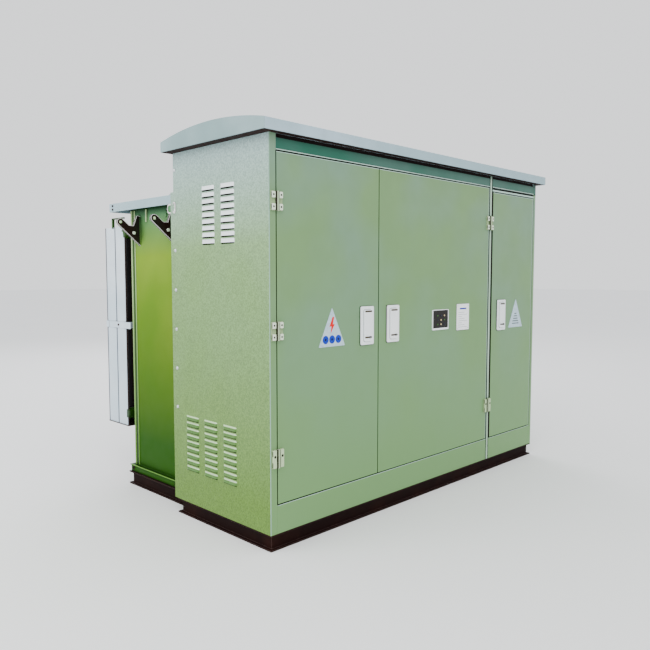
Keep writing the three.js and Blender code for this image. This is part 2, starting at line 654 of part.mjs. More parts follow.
function lowVoltageBushing([x, z]) {
  const SPADE = { width: 76, height: 110, thick: 12, drop: 60, out: 96 };
  const spadeX = [x - SPADE.width / 2, x + SPADE.width / 2];
  const y = PLATE_FRONT - SPADE.out;
  const bottom = z - SPADE.drop;
  const spade = block(spadeX, [y - SPADE.thick, y], [bottom, bottom + SPADE.height]);
  return join(turned([x, z], PLATE_FRONT, lowBushing), spade);
}
LOW_BUSHINGS.forEach((place, i) =>
  add("low_voltage_bushing_" + "abcn"[i], lowVoltageBushing(place), COPPER));

// A turning control with its hub on the plate: a bar that points up or a round knob with a grip.
const SWITCH = { x: -1060, z: 1460 };
const TAP = { x: -720, z: 1460 };
const DRAIN = { x: 470, z: 300 };

function switchHandle({ x, z }) {
  const hub = turned([x, z], PLATE_FRONT, [[0, GAP], [34, GAP], [30, 44], [0, 44]], 12);
  const bar = block([x - 13, x + 13], [PLATE_FRONT - 56, PLATE_FRONT - 36], [z - 40, z + 130]);
  return join(hub, bar);
}

function tapKnob({ x, z }) {
  const hub = turned([x, z], PLATE_FRONT, [[0, GAP], [38, GAP], [38, 20], [26, 26], [26, 34], [0, 34]], 12);
  return join(hub, block([x - 8, x + 8], [PLATE_FRONT - 54, PLATE_FRONT - 30], [z - 34, z + 34]));
}

function drainLever({ x, z }) {
  const stem = turned([x, z], PLATE_FRONT, [[0, GAP], [20, GAP], [20, 60], [0, 60]], 10);
  return join(stem, block([x - 12, x + 110], [PLATE_FRONT - 60, PLATE_FRONT - 50], [z - 12, z + 12]));
}

// It slides out of the valve's socket when the tank vents.
function reliefPlunger({ x, z, radius, socket }) {
  const head = [[radius, socket + 2], [26, socket + 3], [26, socket + 11], [0, socket + 11]];
  return turned([x, z], PLATE_FRONT, [[0, 3], [radius, 3], ...head], 14);
}

add("load_break_switch_handle", switchHandle(SWITCH), RED);
add("tap_changer_knob", tapKnob(TAP), DARK_PLASTIC);
add("drain_valve_lever", drainLever(DRAIN), RED);
add("pressure_relief_plunger", reliefPlunger(RELIEF), STEEL);

const dial = (radius) => [[0, GAP], [radius, GAP], [radius, 34], [radius - 6, 38], [0, 38]];
add("oil_level_gauge", turned([290, 1500], PLATE_FRONT, dial(55), 20), STEEL);
add("oil_thermometer", turned([470, 1500], PLATE_FRONT, dial(48), 20), STEEL);
add("control_box", block([760, 1130], [600, PLATE_FRONT - GAP], [900, 1400]), GREEN);

// The origin is under the middle of the whole box, on the ground.
part.position.y = (OVERHANG.front - RADIATOR.rear) / 2;

export default part;
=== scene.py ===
"""The looks of the pad-mounted transformer: a sheet-steel cabinet in front of an oil tank with radiators."""
import math

import bmesh
import bpy
from mathutils import Matrix, Vector


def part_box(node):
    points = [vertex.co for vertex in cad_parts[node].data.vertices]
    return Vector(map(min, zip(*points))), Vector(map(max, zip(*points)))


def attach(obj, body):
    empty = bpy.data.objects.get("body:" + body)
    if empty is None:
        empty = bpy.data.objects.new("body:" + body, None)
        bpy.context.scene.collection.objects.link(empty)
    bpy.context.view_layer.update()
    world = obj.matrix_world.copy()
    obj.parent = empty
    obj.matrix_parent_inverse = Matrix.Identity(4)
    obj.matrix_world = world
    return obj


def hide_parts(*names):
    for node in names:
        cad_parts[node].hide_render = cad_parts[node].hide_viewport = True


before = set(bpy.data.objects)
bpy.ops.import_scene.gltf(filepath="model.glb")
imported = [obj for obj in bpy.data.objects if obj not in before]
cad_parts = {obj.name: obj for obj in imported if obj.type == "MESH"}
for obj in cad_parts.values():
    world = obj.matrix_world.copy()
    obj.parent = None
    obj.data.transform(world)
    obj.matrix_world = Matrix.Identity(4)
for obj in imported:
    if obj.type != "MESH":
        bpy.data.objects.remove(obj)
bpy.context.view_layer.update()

MM = 0.001
FRONT_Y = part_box("left_door")[0].y  # the cabinet's front face
AXES = {"x": 0, "y": 1, "z": 2}
SIDES = (("left", -1), ("right", 1))  # each side, and which way along X it faces


def span(node):
    """A CAD node's box in millimetres, with Y counted from the cabinet's front face."""
    lo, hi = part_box(node)
    origin = (0, FRONT_Y, 0)
    return [((lo[i] - origin[i]) / MM, (hi[i] - origin[i]) / MM) for i in range(3)]


def middle(pair):
    return (pair[0] + pair[1]) / 2


def grown(pair, by):
    return (pair[0] - by, pair[1] + by)


def around(value, half):
    return (value - half, value + half)


def cabinet_wall(side):
    """Where a side panel's outer face is along X, and which way it faces."""
    x = span(side + "_side_panel")[0]
    return (x[0], -1) if side == "left" else (x[1], 1)


# ---------- materials ----------
def rgb(red, green, blue):
    """A colour given in 0 to 255 as the linear values that a shader takes."""
    linear = [((c / 255 + 0.055) / 1.055) ** 2.4 if c > 10 else c / 255 / 12.92 for c in (red, green, blue)]
    return (*linear, 1)


SHEEN = 0.2  # how strongly dusty paint and plastic mirror the pale studio


class Nodes:
    """A material's node tree, built by short calls."""

    def __init__(self, name):
        self.material = bpy.data.materials.new(name)
        self.material.use_nodes = True
        self.tree = self.material.node_tree
        self.shader = self.tree.nodes["Principled BSDF"]
        self.place = self.tree.nodes.new("ShaderNodeTexCoord").outputs["Object"]

    def fill(self, socket, value):
        """Links a socket to the socket given, or sets it to the plain value given."""
        if isinstance(value, bpy.types.NodeSocket):
            self.tree.links.new(value, socket)
        else:
            socket.default_value = value

    def new(self, kind, *first, **values):
        """A node: its settings and named sockets by name, then its first sockets in order."""
        node = self.tree.nodes.new(kind)
        for key, value in values.items():
            if hasattr(node, key):
                setattr(node, key, value)
            else:
                self.fill(node.inputs[key.replace("_", " ")], value)
        for i, value in enumerate(first):
            self.fill(node.inputs[i], value)
        return node

    def noise(self, scale, detail=3.0, stretch=None):
        place = self.place
        if stretch:
            place = self.new("ShaderNodeMapping", Vector=place, Scale=stretch).outputs["Vector"]
        return self.new("ShaderNodeTexNoise", Vector=place, Scale=scale, Detail=detail).outputs["Fac"]

    def along(self, axis):
        """The place along one of the object's axes, in metres."""
        return self.new("ShaderNodeSeparateXYZ", Vector=self.place).outputs[axis]

    def ranged(self, value, low, high, to_low=0.0, to_high=1.0):
        """A value carried from one range to another and held at its ends."""
        node = self.new("ShaderNodeMapRange", Value=value, From_Min=low, From_Max=high,
                        To_Min=to_low, To_Max=to_high)
        return node.outputs["Result"]

    def mix(self, factor, first, second):
        node = self.new("ShaderNodeMix", data_type="RGBA", Factor=factor)
        self.fill(node.inputs[6], first)
        self.fill(node.inputs[7], second)
        return node.outputs[2]

    def edges(self, radius_mm):
        """1 on sharp edges and 0 elsewhere, from how far a rounded normal turns from the true one."""
        turned = self.new("ShaderNodeBevel", samples=4, Radius=radius_mm * MM).outputs["Normal"]
        true = self.new("ShaderNodeNewGeometry").outputs["Normal"]
        dot = self.new("ShaderNodeVectorMath", turned, true, operation="DOT_PRODUCT")
        return self.ranged(dot.outputs["Value"], 0.995, 0.8)

    def shade_in_hollows(self, reach_mm):
        """1 in corners and under overhangs, where shade falls, and 0 on open faces: the mask of painted
        shade.
        """
        open_share = self.new("ShaderNodeAmbientOcclusion", samples=8, Distance=reach_mm * MM).outputs["AO"]
        return self.ranged(open_share, 0.88, 0.42)

    def bump(self, height, distance_mm, normal=None):
        node = self.new("ShaderNodeBump", Height=height, Distance=distance_mm * MM, Strength=1.0)
        if normal:
            self.fill(node.inputs["Normal"], normal)
        return node.outputs["Normal"]

    def set(self, **sockets):
        for key, value in sockets.items():
            self.fill(self.shader.inputs[key.replace("_", " ")], value)
        return self.material


def painted(name, colour, tint, fades=(), roughness=0.4, sheen=SHEEN, peel=0.12, peel_scale=220, dent_shade=0.0,
            waves=1.5, wear_and_glint=0.0, edge=(225, 235, 230), shade_tone=None, shade_reach=110):
    """Sprayed enamel: slow drift between two tones, orange peel, gentle sheet waves, pale edges that are worn
    and painted highlight, painted shade in corners and under overhangs, and painted light and shade on hammer
    dents.

    A fade is a height in metres where another tone starts, a height where it is full, and the tone.
    """
    n = Nodes(name)
    base = n.mix(n.ranged(n.noise(1.9, 2), 0.4, 0.62), rgb(*colour), rgb(*tint))
    dark = rgb(*[c * 0.88 for c in colour])
    base = n.mix(n.ranged(n.noise(9, 4), 0.35, 0.7, 0.0, 0.25), base, dark)
    height = n.along("Z")
    for start, full, tone in fades:
        base = n.mix(n.ranged(height, start, full), base, rgb(*tone))
    grain = n.noise(peel_scale, 2)
    # On hammered paint the colour lightens and darkens with the same grain as the dents: painted light and
    # shade on them.
    if dent_shade:
        value = n.ranged(grain, 0.36, 0.64, 1 - dent_shade, 1 + dent_shade)
        base = n.new("ShaderNodeHueSaturation", Color=base, Value=value).outputs["Color"]
    # Painted shade: corners and faces under overhangs darken towards the given tone.
    if shade_tone:
        base = n.mix(n.shade_in_hollows(shade_reach), base, rgb(*shade_tone))
    # Pale sharp edges: worn, and painted highlight where the edges catch the light.
    if wear_and_glint:
        base = n.mix(n.ranged(n.edges(1.8), 0, 1, 0, wear_and_glint), base, rgb(*edge))
    skin = n.bump(grain, peel, n.bump(n.noise(1.7, 1), waves))
    rough = n.ranged(n.noise(14, 3), 0.3, 0.7, roughness - 0.05, roughness + 0.07)
    return n.set(Base_Color=base, Roughness=rough, Normal=skin, Specular_IOR_Level=sheen)


def trim(name, colour, tint, roughness=0.3, **more):
    """The same enamel on pieces that are too small for sheet waves."""
    return painted(name, colour, tint, roughness=roughness, waves=0.0, **more)


def leaf_paint(axis_x):
    """Hinge leaves in pale enamel, with dark flanks on both sides of the knuckle round the pin as painted
    shade, and pale edges as painted highlight.
    """
    n = Nodes("hinge_leaf_paint")
    away = n.new("ShaderNodeMath", n.along("X"), axis_x * MM, operation="SUBTRACT").outputs[0]
    distance = n.new("ShaderNodeMath", away, operation="ABSOLUTE").outputs[0]
    leaf = n.mix(n.ranged(n.noise(40, 3), 0.35, 0.65), rgb(150, 172, 128), rgb(128, 152, 108))
    # Painted shade on both flanks of the round knuckle.
    flanks = n.mix(n.ranged(distance, 0.0090, 0.0084), leaf, rgb(34, 26, 16))
    knuckle = n.mix(n.ranged(distance, 0.0046, 0.0040), flanks, rgb(164, 182, 148))
    # Painted highlight on the sharp edges.
    base = n.mix(n.ranged(n.edges(1.2), 0, 1, 0, 0.35), knuckle, rgb(214, 224, 200))
    skin = n.bump(n.noise(260, 2), 0.08)
    return n.set(Base_Color=base, Roughness=0.4, Normal=skin, Specular_IOR_Level=SHEEN)


def bare_metal(name, colour, roughness, stretch=(1, 1, 40), metallic=1.0):
    """Plated or drawn metal with fine streaks along one axis."""
    n = Nodes(name)
    streak = n.noise(60, 3, stretch)
    base = n.mix(n.ranged(streak, 0.3, 0.7, 0, 0.35), rgb(*colour), rgb(*[c * 0.8 for c in colour]))
    rough = n.ranged(streak, 0.3, 0.7, roughness - 0.07, roughness + 0.09)
    return n.set(Base_Color=base, Roughness=rough, Normal=n.bump(streak, 0.02), Metallic=metallic)


def moulded(name, colour, roughness, grain=0.03, coat=0.2):
    """Moulded plastic, rubber or cast resin with a fine grain and a little dust."""
    n = Nodes(name)
    dust = n.ranged(n.noise(18, 4), 0.45, 0.8, 0, 0.18)
    base = n.mix(dust, rgb(*colour), rgb(*[min(255, c * 1.2 + 14) for c in colour]))
    rough = n.ranged(n.noise(30, 3), 0.3, 0.7, roughness - 0.05, roughness + 0.08)
    return n.set(Base_Color=base, Roughness=rough, Normal=n.bump(n.noise(900, 1), grain), Coat_Weight=coat,
                 Specular_IOR_Level=SHEEN)


def base_paint():
    """Near-black anti-rust paint with a red cast, dusty patches and pale edges that are worn and painted
    highlight.
    """
    n = Nodes("anti_rust_paint")
    patches = n.ranged(n.noise(7, 5), 0.48, 0.72, 0, 0.5)
    base = n.mix(patches, rgb(20, 4, 3), rgb(40, 16, 10))
    base = n.mix(n.ranged(n.edges(2.0), 0, 1, 0, 0.5), base, rgb(150, 128, 122))
    skin = n.bump(n.noise(160, 3), 0.25)
    return n.set(Base_Color=base, Roughness=0.7, Normal=skin, Specular_IOR_Level=0.08)


def pale_floor():
    n = Nodes("studio_floor")
    base = n.mix(n.noise(0.4, 2), rgb(243, 244, 245), rgb(247, 247, 248))
    return n.set(Base_Color=base, Roughness=0.9)


# The slow drift to a blue-grey tint is painted reflection of the pale sky; towards the bottom it gives way to
# plain green.
SAGE = painted("sage_door_enamel", (112, 145, 98), (112, 143, 124), fades=((1.95, 0.2, (108, 147, 94)),),
               roughness=0.34, peel=0.05)
# Hammered side enamel, yellower green towards the bottom; its blue-grey top is painted reflection of the sky.
SIDE = painted("sage_hammer_enamel", (132, 164, 122), (124, 158, 106), roughness=0.38, peel=1.5,
               peel_scale=150, dent_shade=0.2, fades=((1.95, 0.2, (92, 126, 52)), (1.45, 1.95, (148, 172, 172))))
# The header's teal, darkened as painted shade under the roof's overhang, with more painted shade in its
# corners.
HEADER_IN_SHADE = painted("header_shaded_enamel", (60, 100, 88), (22, 92, 72), peel=0.05, shade_tone=(12, 24, 20), shade_reach=60)
# Its dark third tone is painted shade in corners.
POST = painted("divider_enamel", (168, 194, 174), (152, 180, 156), roughness=0.35, peel=0.05,
               shade_tone=(40, 56, 44))
# Pale enamel for strips along lit edges: painted highlight.
EDGE_HIGHLIGHT = trim("edge_highlight_enamel", (180, 206, 196), (166, 196, 182), peel=0.02)
CORNER_HIGHLIGHT = trim("corner_highlight_enamel", (144, 176, 164), (132, 166, 146), peel=0.02)
# Its dark third tone is painted shade in corners and recesses.
INNER_SAGE = painted("sage_inner_enamel", (104, 136, 100), (94, 128, 106), roughness=0.45, peel=0.06,
                     shade_tone=(30, 36, 28))
SOFFIT = painted("shaded_soffit_enamel", (30, 6, 3), (34, 10, 6), roughness=0.8)
# Its pale edges are worn paint and painted highlight.
ROOF = painted("roof_enamel", (150, 176, 184), (168, 190, 202), roughness=0.36, peel=0.1, waves=2.5, wear_and_glint=0.5,
               edge=(226, 238, 246))
# A darker copy of the roof's enamel for the end plates: painted shade.
ROOF_END_SHADED = painted("roof_end_shaded_enamel", (124, 150, 152), (140, 164, 168), peel=0.1, waves=2.5)
# Its grey third tone is painted shade in corners and between the panels.
RADIATOR = painted("radiator_enamel", (192, 208, 220), (210, 222, 232), roughness=0.33, waves=0.5,
                   shade_tone=(92, 96, 108), shade_reach=60)
SEAM = painted("radiator_seam_enamel", (44, 50, 70), (30, 30, 44), roughness=0.5)
# Louvre tones: all-white upper hoods as painted reflection of the sky, and a lit top over a shaded face on
# the lower hoods, painted light and shade.
LOUVRE_REFLECTION = trim("louvre_painted_reflection", (240, 246, 250), (232, 240, 244))
LOUVRE_LIT = trim("louvre_lit_green_enamel", (190, 216, 172), (180, 210, 160), 0.28)
LOUVRE_SHADED = trim("louvre_shaded_green_enamel", (84, 124, 60), (74, 114, 52), 0.28)
WHITE = trim("lock_gloss_white", (246, 249, 251), (240, 245, 248), 0.22, peel=0.03)
# Grey for the lock's recess ring and brown for its finger slots: painted shade.
RECESS_SHADE = trim("lock_recess_shade", (150, 158, 158), (138, 146, 148), 0.5)
SLOT_SHADE = trim("lock_slot_shade", (72, 60, 40), (60, 50, 34), 0.6)
CAP = trim("hinge_cap_enamel", (226, 236, 216), (212, 226, 198))
LONG_CAP = trim("hinge_long_cap_enamel", (184, 206, 164), (168, 194, 146))
# Its paler edges are worn paint and painted highlight.
RED = painted("signal_red_enamel", (186, 20, 12), (170, 14, 10), roughness=0.3, wear_and_glint=0.4,
              edge=(214, 120, 104))
SIGN_RED = trim("sign_red_ink", (236, 0, 0), (222, 0, 0), 0.5)
SIGN_BLUE = trim("sign_blue_ink", (6, 34, 150), (12, 52, 176), 0.4)
GREY_INK = trim("plate_grey_ink", (70, 84, 90), (60, 74, 78), 0.5)
# Darker green towards the bottom; the teal top under the cover and the dark third tone in corners are painted
# shade.
TANK = painted("tank_enamel", (116, 146, 36), (98, 136, 24), roughness=0.42, sheen=0.05, waves=2.0,
               fades=((1.4, 0.3, (32, 74, 0)), (1.42, 1.72, (70, 122, 92))),
               shade_tone=(8, 38, 6), shade_reach=130)
# A darker tank green, darker still towards the bottom; on the folded corner's face it is painted shade.
TANK_DEEP = trim("tank_fold_enamel", (40, 76, 10), (30, 66, 8), 0.4, fades=((1.9, 0.2, (10, 44, 0)),))
# Pale tank green for the rib, corner and ledge rods and the lug bosses: painted highlight, dimmer towards the
# bottom.
TANK_HIGHLIGHT = trim("tank_painted_highlight", (176, 202, 150), (160, 190, 120), fades=((1.7, 0.2, (92, 136, 50)),))
# Dark lug faces and their pale edges: painted shade and painted highlight.
LUG_SHADE = painted("lug_painted_shade", (30, 10, 12), (10, 44, 32), roughness=0.45)
LUG_HIGHLIGHT = trim("lug_painted_highlight", (230, 224, 226), (214, 216, 212), 0.35)
BASE = base_paint()
STEEL = bare_metal("zinc_plated_steel", (205, 210, 214), 0.32)
SIGN_PLATE = bare_metal("aluminium_sign", (190, 212, 224), 0.42, (1, 1, 1), 0.3)
COPPER = bare_metal("bare_copper", (190, 112, 72), 0.3)
CORE_STEEL = bare_metal("laminated_core", (70, 74, 78), 0.5, (1, 40, 1))
RUBBER = moulded("nitrile_rubber", (24, 24, 26), 0.75, 0.06, 0.0)
EPOXY = moulded("cast_epoxy", (118, 42, 32), 0.28, 0.01, 0.4)
BLACK = moulded("black_plastic", (14, 9, 7), 0.35, coat=0.0)
# Near-black for gaps, slots, screens and outlines: painted shade.
SHADE_BLACK = moulded("painted_shade_black", (14, 3, 2), 0.9, 0.05, 0.0)
DARK_GAP = moulded("dark_recess", (16, 8, 5), 0.8, 0.03, 0.0)
BEIGE = moulded("lamp_cream", (190, 170, 132), 0.25)
LAMP_GREEN = moulded("lamp_green", (58, 112, 44), 0.2)
DIAL = moulded("dial_white", (238, 238, 232), 0.4)


# ---------- building pieces ----------
def placed(name, data):
    """A new object in the scene."""
    made = bpy.data.objects.new(name, data)
    bpy.context.scene.collection.objects.link(made)
    return made


class Piece:
    """Closed bodies of one visible piece, given in millimetres with Y from the cabinet's front face."""

    def __init__(self):
        self.bm = bmesh.new()
        self.current = 0

    def use(self, index):
        """Picks the material, by its place in the piece's list, for what is built next."""
        self.current = index
        return self

    def paint(self, faces):
        for face in faces:
            face.material_index = self.current

    def skin(self, faces):
        """Turns a body's new faces outwards and paints them."""
        bmesh.ops.recalc_face_normals(self.bm, faces=faces)
        self.paint(faces)
        return self

    def quads(self, rows, closed=True):
        """Faces between each row of corners and the next; a closed row also joins its ends."""
        faces = []
        for a, b in zip(rows, rows[1:]):
            for i in range(len(a) if closed else len(a) - 1):
                j = (i + 1) % len(a)
                faces.append(self.bm.faces.new((a[j], a[i], b[i], b[j])))
        return faces

    def ends(self, rings):
        """Flat faces on the first and last ring of corners."""
        return [self.bm.faces.new(rings[0]), self.bm.faces.new(rings[-1][::-1])]

    def block(self, x, y, z, about=None, turn=None):
        made = bmesh.ops.create_cube(self.bm, size=1)["verts"]
        for v in made:
            v.co = Vector([middle(s) + c * (s[1] - s[0]) for s, c in zip((x, y, z), v.co)])
        if turn:
            bmesh.ops.rotate(self.bm, verts=made, cent=about, matrix=turn)
        self.paint({f for v in made for f in v.link_faces})
        return self

    def loop(self, axis, outline, value):
        """The corners of an outline, given in the two other axes in their order, at a value on one axis."""
        corners = []
        for u, v in outline:
            place = [u, v]
            place.insert(AXES[axis], value)
            corners.append(self.bm.verts.new(place))
        return corners

    def prism(self, axis, outline, along):
        """An outline extruded between two values on one axis."""
        rings = [self.loop(axis, outline, value) for value in along]
        return self.skin(self.ends(rings) + self.quads(rings))

    def ring(self, axis, outer, inner, along):
        """The strip between two outlines with as many points, extruded between two values on one axis."""
        near, far = along
        corners = ((outer, near), (inner, near), (inner, far), (outer, far))
        loops = [self.loop(axis, outline, value) for outline, value in corners]
        return self.skin(self.quads(loops + loops[:1]))

    def turned(self, axis, centre, profile, sides=32, base=0, out=1):
        """A turned body: (radius, distance out from the base) points, closed onto the axis at both ends."""
        first, last = profile[0], profile[-1]
        profile = [(0, first[1])] * (first[0] > 0) + list(profile) + [(0, last[1])] * (last[0] > 0)
        others = [i for i in range(3) if i != AXES[axis]]
        rings = []
        for radius, away in profile:
            ring = []
            for k in range(sides if radius > 0 else 1):
                angle = 2 * math.pi * k / sides
                place = [0, 0, 0]
                place[AXES[axis]] = base + out * away
                place[others[0]] = centre[0] + radius * math.cos(angle)
                place[others[1]] = centre[1] + radius * math.sin(angle)
                ring.append(self.bm.verts.new(place))
            rings.append(ring)
        faces = []
        for a, b in zip(rings, rings[1:]):
            for k in range(sides):
                m = (k + 1) % sides
                corners = [a[k % len(a)], a[m % len(a)], b[m % len(b)], b[k % len(b)]]
                corners = [v for i, v in enumerate(corners) if v not in corners[:i]]
                if len(corners) > 2:
                    faces.append(self.bm.faces.new(corners))
        return self.skin(faces)

    def rod(self, axis, centre, radius, along, sides=20):
        return self.turned(axis, centre, [(radius, value) for value in along], sides)

    def tube(self, path, radius, sides=8):
        """A round bar through the points of a path."""
        points = [Vector(p) for p in path]
        turns = [2 * math.pi * k / sides for k in range(sides)]
        rings = []
        for i, point in enumerate(points):
            ahead = points[min(i + 1, len(points) - 1)] - points[max(i - 1, 0)]
            lift = Vector((0, 0, 1)) if abs(ahead.normalized().z) < 0.9 else Vector((1, 0, 0))
            side = ahead.cross(lift).normalized()
            up = side.cross(ahead).normalized()
            spokes = [side * math.cos(t) + up * math.sin(t) for t in turns]
            rings.append([self.bm.verts.new(point + radius * spoke) for spoke in spokes])
        return self.skin(self.ends(rings) + self.quads(rings))

    def hex_bolt(self, axis, centre, base, out, across=9, height=7):
        """A bolt head with its washer, standing from the value base towards the sign of out."""
        self.turned(axis, centre, [(across * 1.15, 0), (across * 1.15, 2)], 20, base, out)
        head = [(across, 1.5), (across, height), (across * 0.8, height + 1.2)]
        return self.turned(axis, centre, head, 6, base, out)

    def dome_screw(self, axis, centre, base, out, radius=8):
        """A low domed head on a straight rim, standing from the value base towards the sign of out."""
        angles = [math.pi / 2 * share for share in (0.25, 0.5, 0.75)]
        dome = [(radius * math.cos(a), 1 + radius * 0.5 * math.sin(a)) for a in angles]
        profile = [(radius, 0), (radius, 1)] + dome + [(0, 1 + radius * 0.5)]
        return self.turned(axis, centre, profile, 16, base, out)

    def done(self, name, body, slot, materials, bevel=0.0, segments=2, smooth=35, replaces=()):
        """Makes the object, with its materials and edge bevel, and ties it to its CAD body."""
        for v in self.bm.verts:
            v.co = Vector((v.co.x * MM, v.co.y * MM + FRONT_Y, v.co.z * MM))
        mesh = bpy.data.meshes.new(name)
        self.bm.to_mesh(mesh)
        self.bm.free()
        piece = placed(name, mesh)
        for material in materials:
            mesh.materials.append(material)
        shade(piece, bevel, segments, smooth)
        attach(piece, body)
        if replaces:
            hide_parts(*replaces)


def round_edges(piece, width, segments, angle):
    """A bevel modifier on the edges that are sharper than an angle."""
    edge = piece.modifiers.new("edge", "BEVEL")
    edge.width = width * MM
    edge.segments = segments
    edge.limit_method = "ANGLE"
    edge.angle_limit = math.radians(angle)


def shade(piece, bevel, segments, smooth):
    """Smooth shading, with rounded edges, that breaks where faces meet at more than the angle smooth."""
    mesh = piece.data
    mesh.shade_smooth()
    if bevel:
        round_edges(piece, bevel, segments, smooth)
    piece.modifiers.new("normals", "WEIGHTED_NORMAL").keep_sharp = True
    bm = bmesh.new()
    bm.from_mesh(mesh)
    limit = math.radians(smooth)
    flags = [len(e.link_faces) != 2 or e.calc_face_angle(0) > limit for e in bm.edges]
    bm.free()
    for edge, flag in zip(mesh.edges, flags):
        edge.use_edge_sharp = flag


def rounded(x, z, radius, steps=5):
    """A rectangle's outline with round corners."""
    corners = [(x[1] - radius, z[0] + radius, -90), (x[1] - radius, z[1] - radius, 0),
               (x[0] + radius, z[1] - radius, 90), (x[0] + radius, z[0] + radius, 180)]
    outline = []
    for cx, cz, start in corners:
        for k in range(steps + 1):
            angle = math.radians(start + 90 * k / steps)
            outline.append((cx + radius * math.cos(angle), cz + radius * math.sin(angle)))
    return outline


def hole(outline, centre, radius):
    """A round hole's outline, with a point facing each point of the outline around it."""
    angles = [math.atan2(v - centre[1], u - centre[0]) for u, v in outline]
    return [(centre[0] + radius * math.cos(a), centre[1] + radius * math.sin(a)) for a in angles]


def keep(node, material, bevel=1.2, segments=2):
    """A CAD node whose shape is right: welded, its flat faces merged, its edges rounded, and painted."""
    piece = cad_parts[node]
    piece.data.materials.clear()
    piece.data.materials.append(material)
    piece.data.shade_flat()
    piece.modifiers.new("weld", "WELD").merge_threshold = 0.00002
    flat = piece.modifiers.new("flat", "DECIMATE")
    flat.decimate_type = "DISSOLVE"
    flat.angle_limit = math.radians(0.5)
    if bevel:
        round_edges(piece, bevel, segments, 35)


# ---------- camera, light and floor ----------
CAMERA_STAND = (-2010, -2351)  # from the cabinet's left front corner
EYE_HEIGHT = 1305
CAMERA_YAW = 44.76
CAMERA_DIP = 4.19
LENS = 37.18


def place_camera():
    """Stands off the left front corner, at eye height, looking a little down at the far right."""
    corner_x, _ = cabinet_wall("left")
    camera = placed("camera", bpy.data.cameras.new("camera"))
    camera.location = ((corner_x + CAMERA_STAND[0]) * MM, FRONT_Y + CAMERA_STAND[1] * MM, EYE_HEIGHT * MM)
    yaw, dip = math.radians(CAMERA_YAW), math.radians(CAMERA_DIP)
    ahead = Vector((math.cos(yaw) * math.cos(dip), math.sin(yaw) * math.cos(dip), -math.sin(dip)))
    camera.rotation_euler = ahead.to_track_quat("-Z", "Y").to_euler()
    camera.data.lens = LENS
    camera.data.sensor_width = 36
    camera.data.clip_end = 200
    bpy.context.scene.camera = camera


def area_light(name, place, target, size, power, colour):
    light = placed(name, bpy.data.lights.new(name, "AREA"))
    light.data.shape = "RECTANGLE"
    light.data.size, light.data.size_y = size
    light.data.energy = power
    light.data.color = colour
    light.location = place
    light.rotation_euler = (Vector(target) - Vector(place)).to_track_quat("-Z", "Y").to_euler()


def light_studio():
    world = bpy.data.worlds.new("studio")
    world.use_nodes = True
    sky = world.node_tree.nodes["Background"]
    sky.inputs["Color"].default_value = rgb(246, 248, 250)
    sky.inputs["Strength"].default_value = 1.5
    bpy.context.scene.world = world
    area_light("key", (-5.5, -4.5, 6.5), (0, 0, 1), (5, 4), 360, (1.0, 0.99, 0.96))
    area_light("side", (-7, 2.5, 3.5), (-1, 0.3, 1), (4, 4), 220, (1.0, 1.0, 0.96))
    area_light("rear", (3.5, 6.5, 5.5), (0, 0, 1), (5, 4), 240, (0.97, 0.98, 1.0))


def lay_floor():
    bm = bmesh.new()
    bmesh.ops.create_grid(bm, x_segments=2, y_segments=2, size=60)
    mesh = bpy.data.meshes.new("floor")
    bm.to_mesh(mesh)
    bm.free()
    mesh.materials.append(pale_floor())
    placed("floor", mesh)


place_camera()
light_studio()
lay_floor()


# ---------- cabinet ----------
PIVOT_PIN = 14  # how far the right door's pivots stand out
HEADER_FOOT = span("main_header")[2][0]
UNDER_ROOF = span("roof_cap")[2][0] - 0.5

LOUVRE_ROWS = 9
LOUVRE_BANKS = (
    {"columns": ((258, 366), (420, 524)), "bottom": 1468, "pitch": 33.5, "lit_and_shaded": False},
    {"columns": ((257, 363), (416, 527), (578, 690)), "bottom": 265, "pitch": 34, "lit_and_shaded": True},
)
LIT_SHARE = 0.6  # how far up a lit-and-shaded hood its painted shade goes

PANEL_SCREWS = 7
LOWEST_SCREW = 593
SCREW_PITCH = 212


def door_box(door):
    """A door's box without the pivots above and below it."""
    x, y, z = span(door + "_door")
    return (x, y, grown(z, -PIVOT_PIN)) if door == "right" else (x, y, z)


def louvre(piece, wall_x, out, y, z, lit_and_shaded, height=21, reach=9, thick=1.6):
    """A pressed hood whose lower lip stands out over a slot darkened as painted shade; it is all pale as
    painted reflection, or a lit top over a shaded face as painted light and shade.
    """
    across, down = 14, 6
    skins = []
    for depth in (0, thick):
        rows = []
        for i in range(across + 1):
            u = i / across
            fullness = (1 - abs(2 * u - 1) ** 7) ** 0.5
            row = []
            for j in range(down + 1):
                v = j / down
                stand = reach * fullness * math.sin(v * math.pi / 2) ** 0.9 - depth
                place = (wall_x + out * max(stand, -0.6), y[0] + u * (y[1] - y[0]), z + height * (1 - v))
                row.append(piece.bm.verts.new(place))
            rows.append(row)
        skins.append(rows)
    faces = [face for rows in skins for face in piece.quads(rows, closed=False)]
    lower = [f for f in faces if sum(v.co.z for v in f.verts) / 4 < z + height * LIT_SHARE]
    rims = [rows[0][:-1] + [row[-1] for row in rows[:-1]] + rows[-1][:0:-1] + [row[0] for row in rows[:0:-1]]
            for rows in skins]
    piece.use(3 if lit_and_shaded else 0).skin(faces + piece.quads(rims))
    if lit_and_shaded:
        piece.use(1).paint(lower)
    # A near-black strip over the slot's lower part: painted shade.
    piece.use(2).block(sorted((wall_x, wall_x + out * 0.5)), (y[0] + 3, y[1] - 2), (z - 6.5, z + 1))


def side_louvres(side):
    wall_x, out = cabinet_wall(side)
    piece = Piece()
    for bank in LOUVRE_BANKS:
        for column in bank["columns"]:
            for row in range(LOUVRE_ROWS):
                louvre(piece, wall_x, out, column, bank["bottom"] + row * bank["pitch"], bank["lit_and_shaded"])
    tones = [LOUVRE_REFLECTION, LOUVRE_SHADED, SHADE_BLACK, LOUVRE_LIT]
    piece.done(side + "_louvres", "frame", "cabinet_paint", tones, smooth=50)


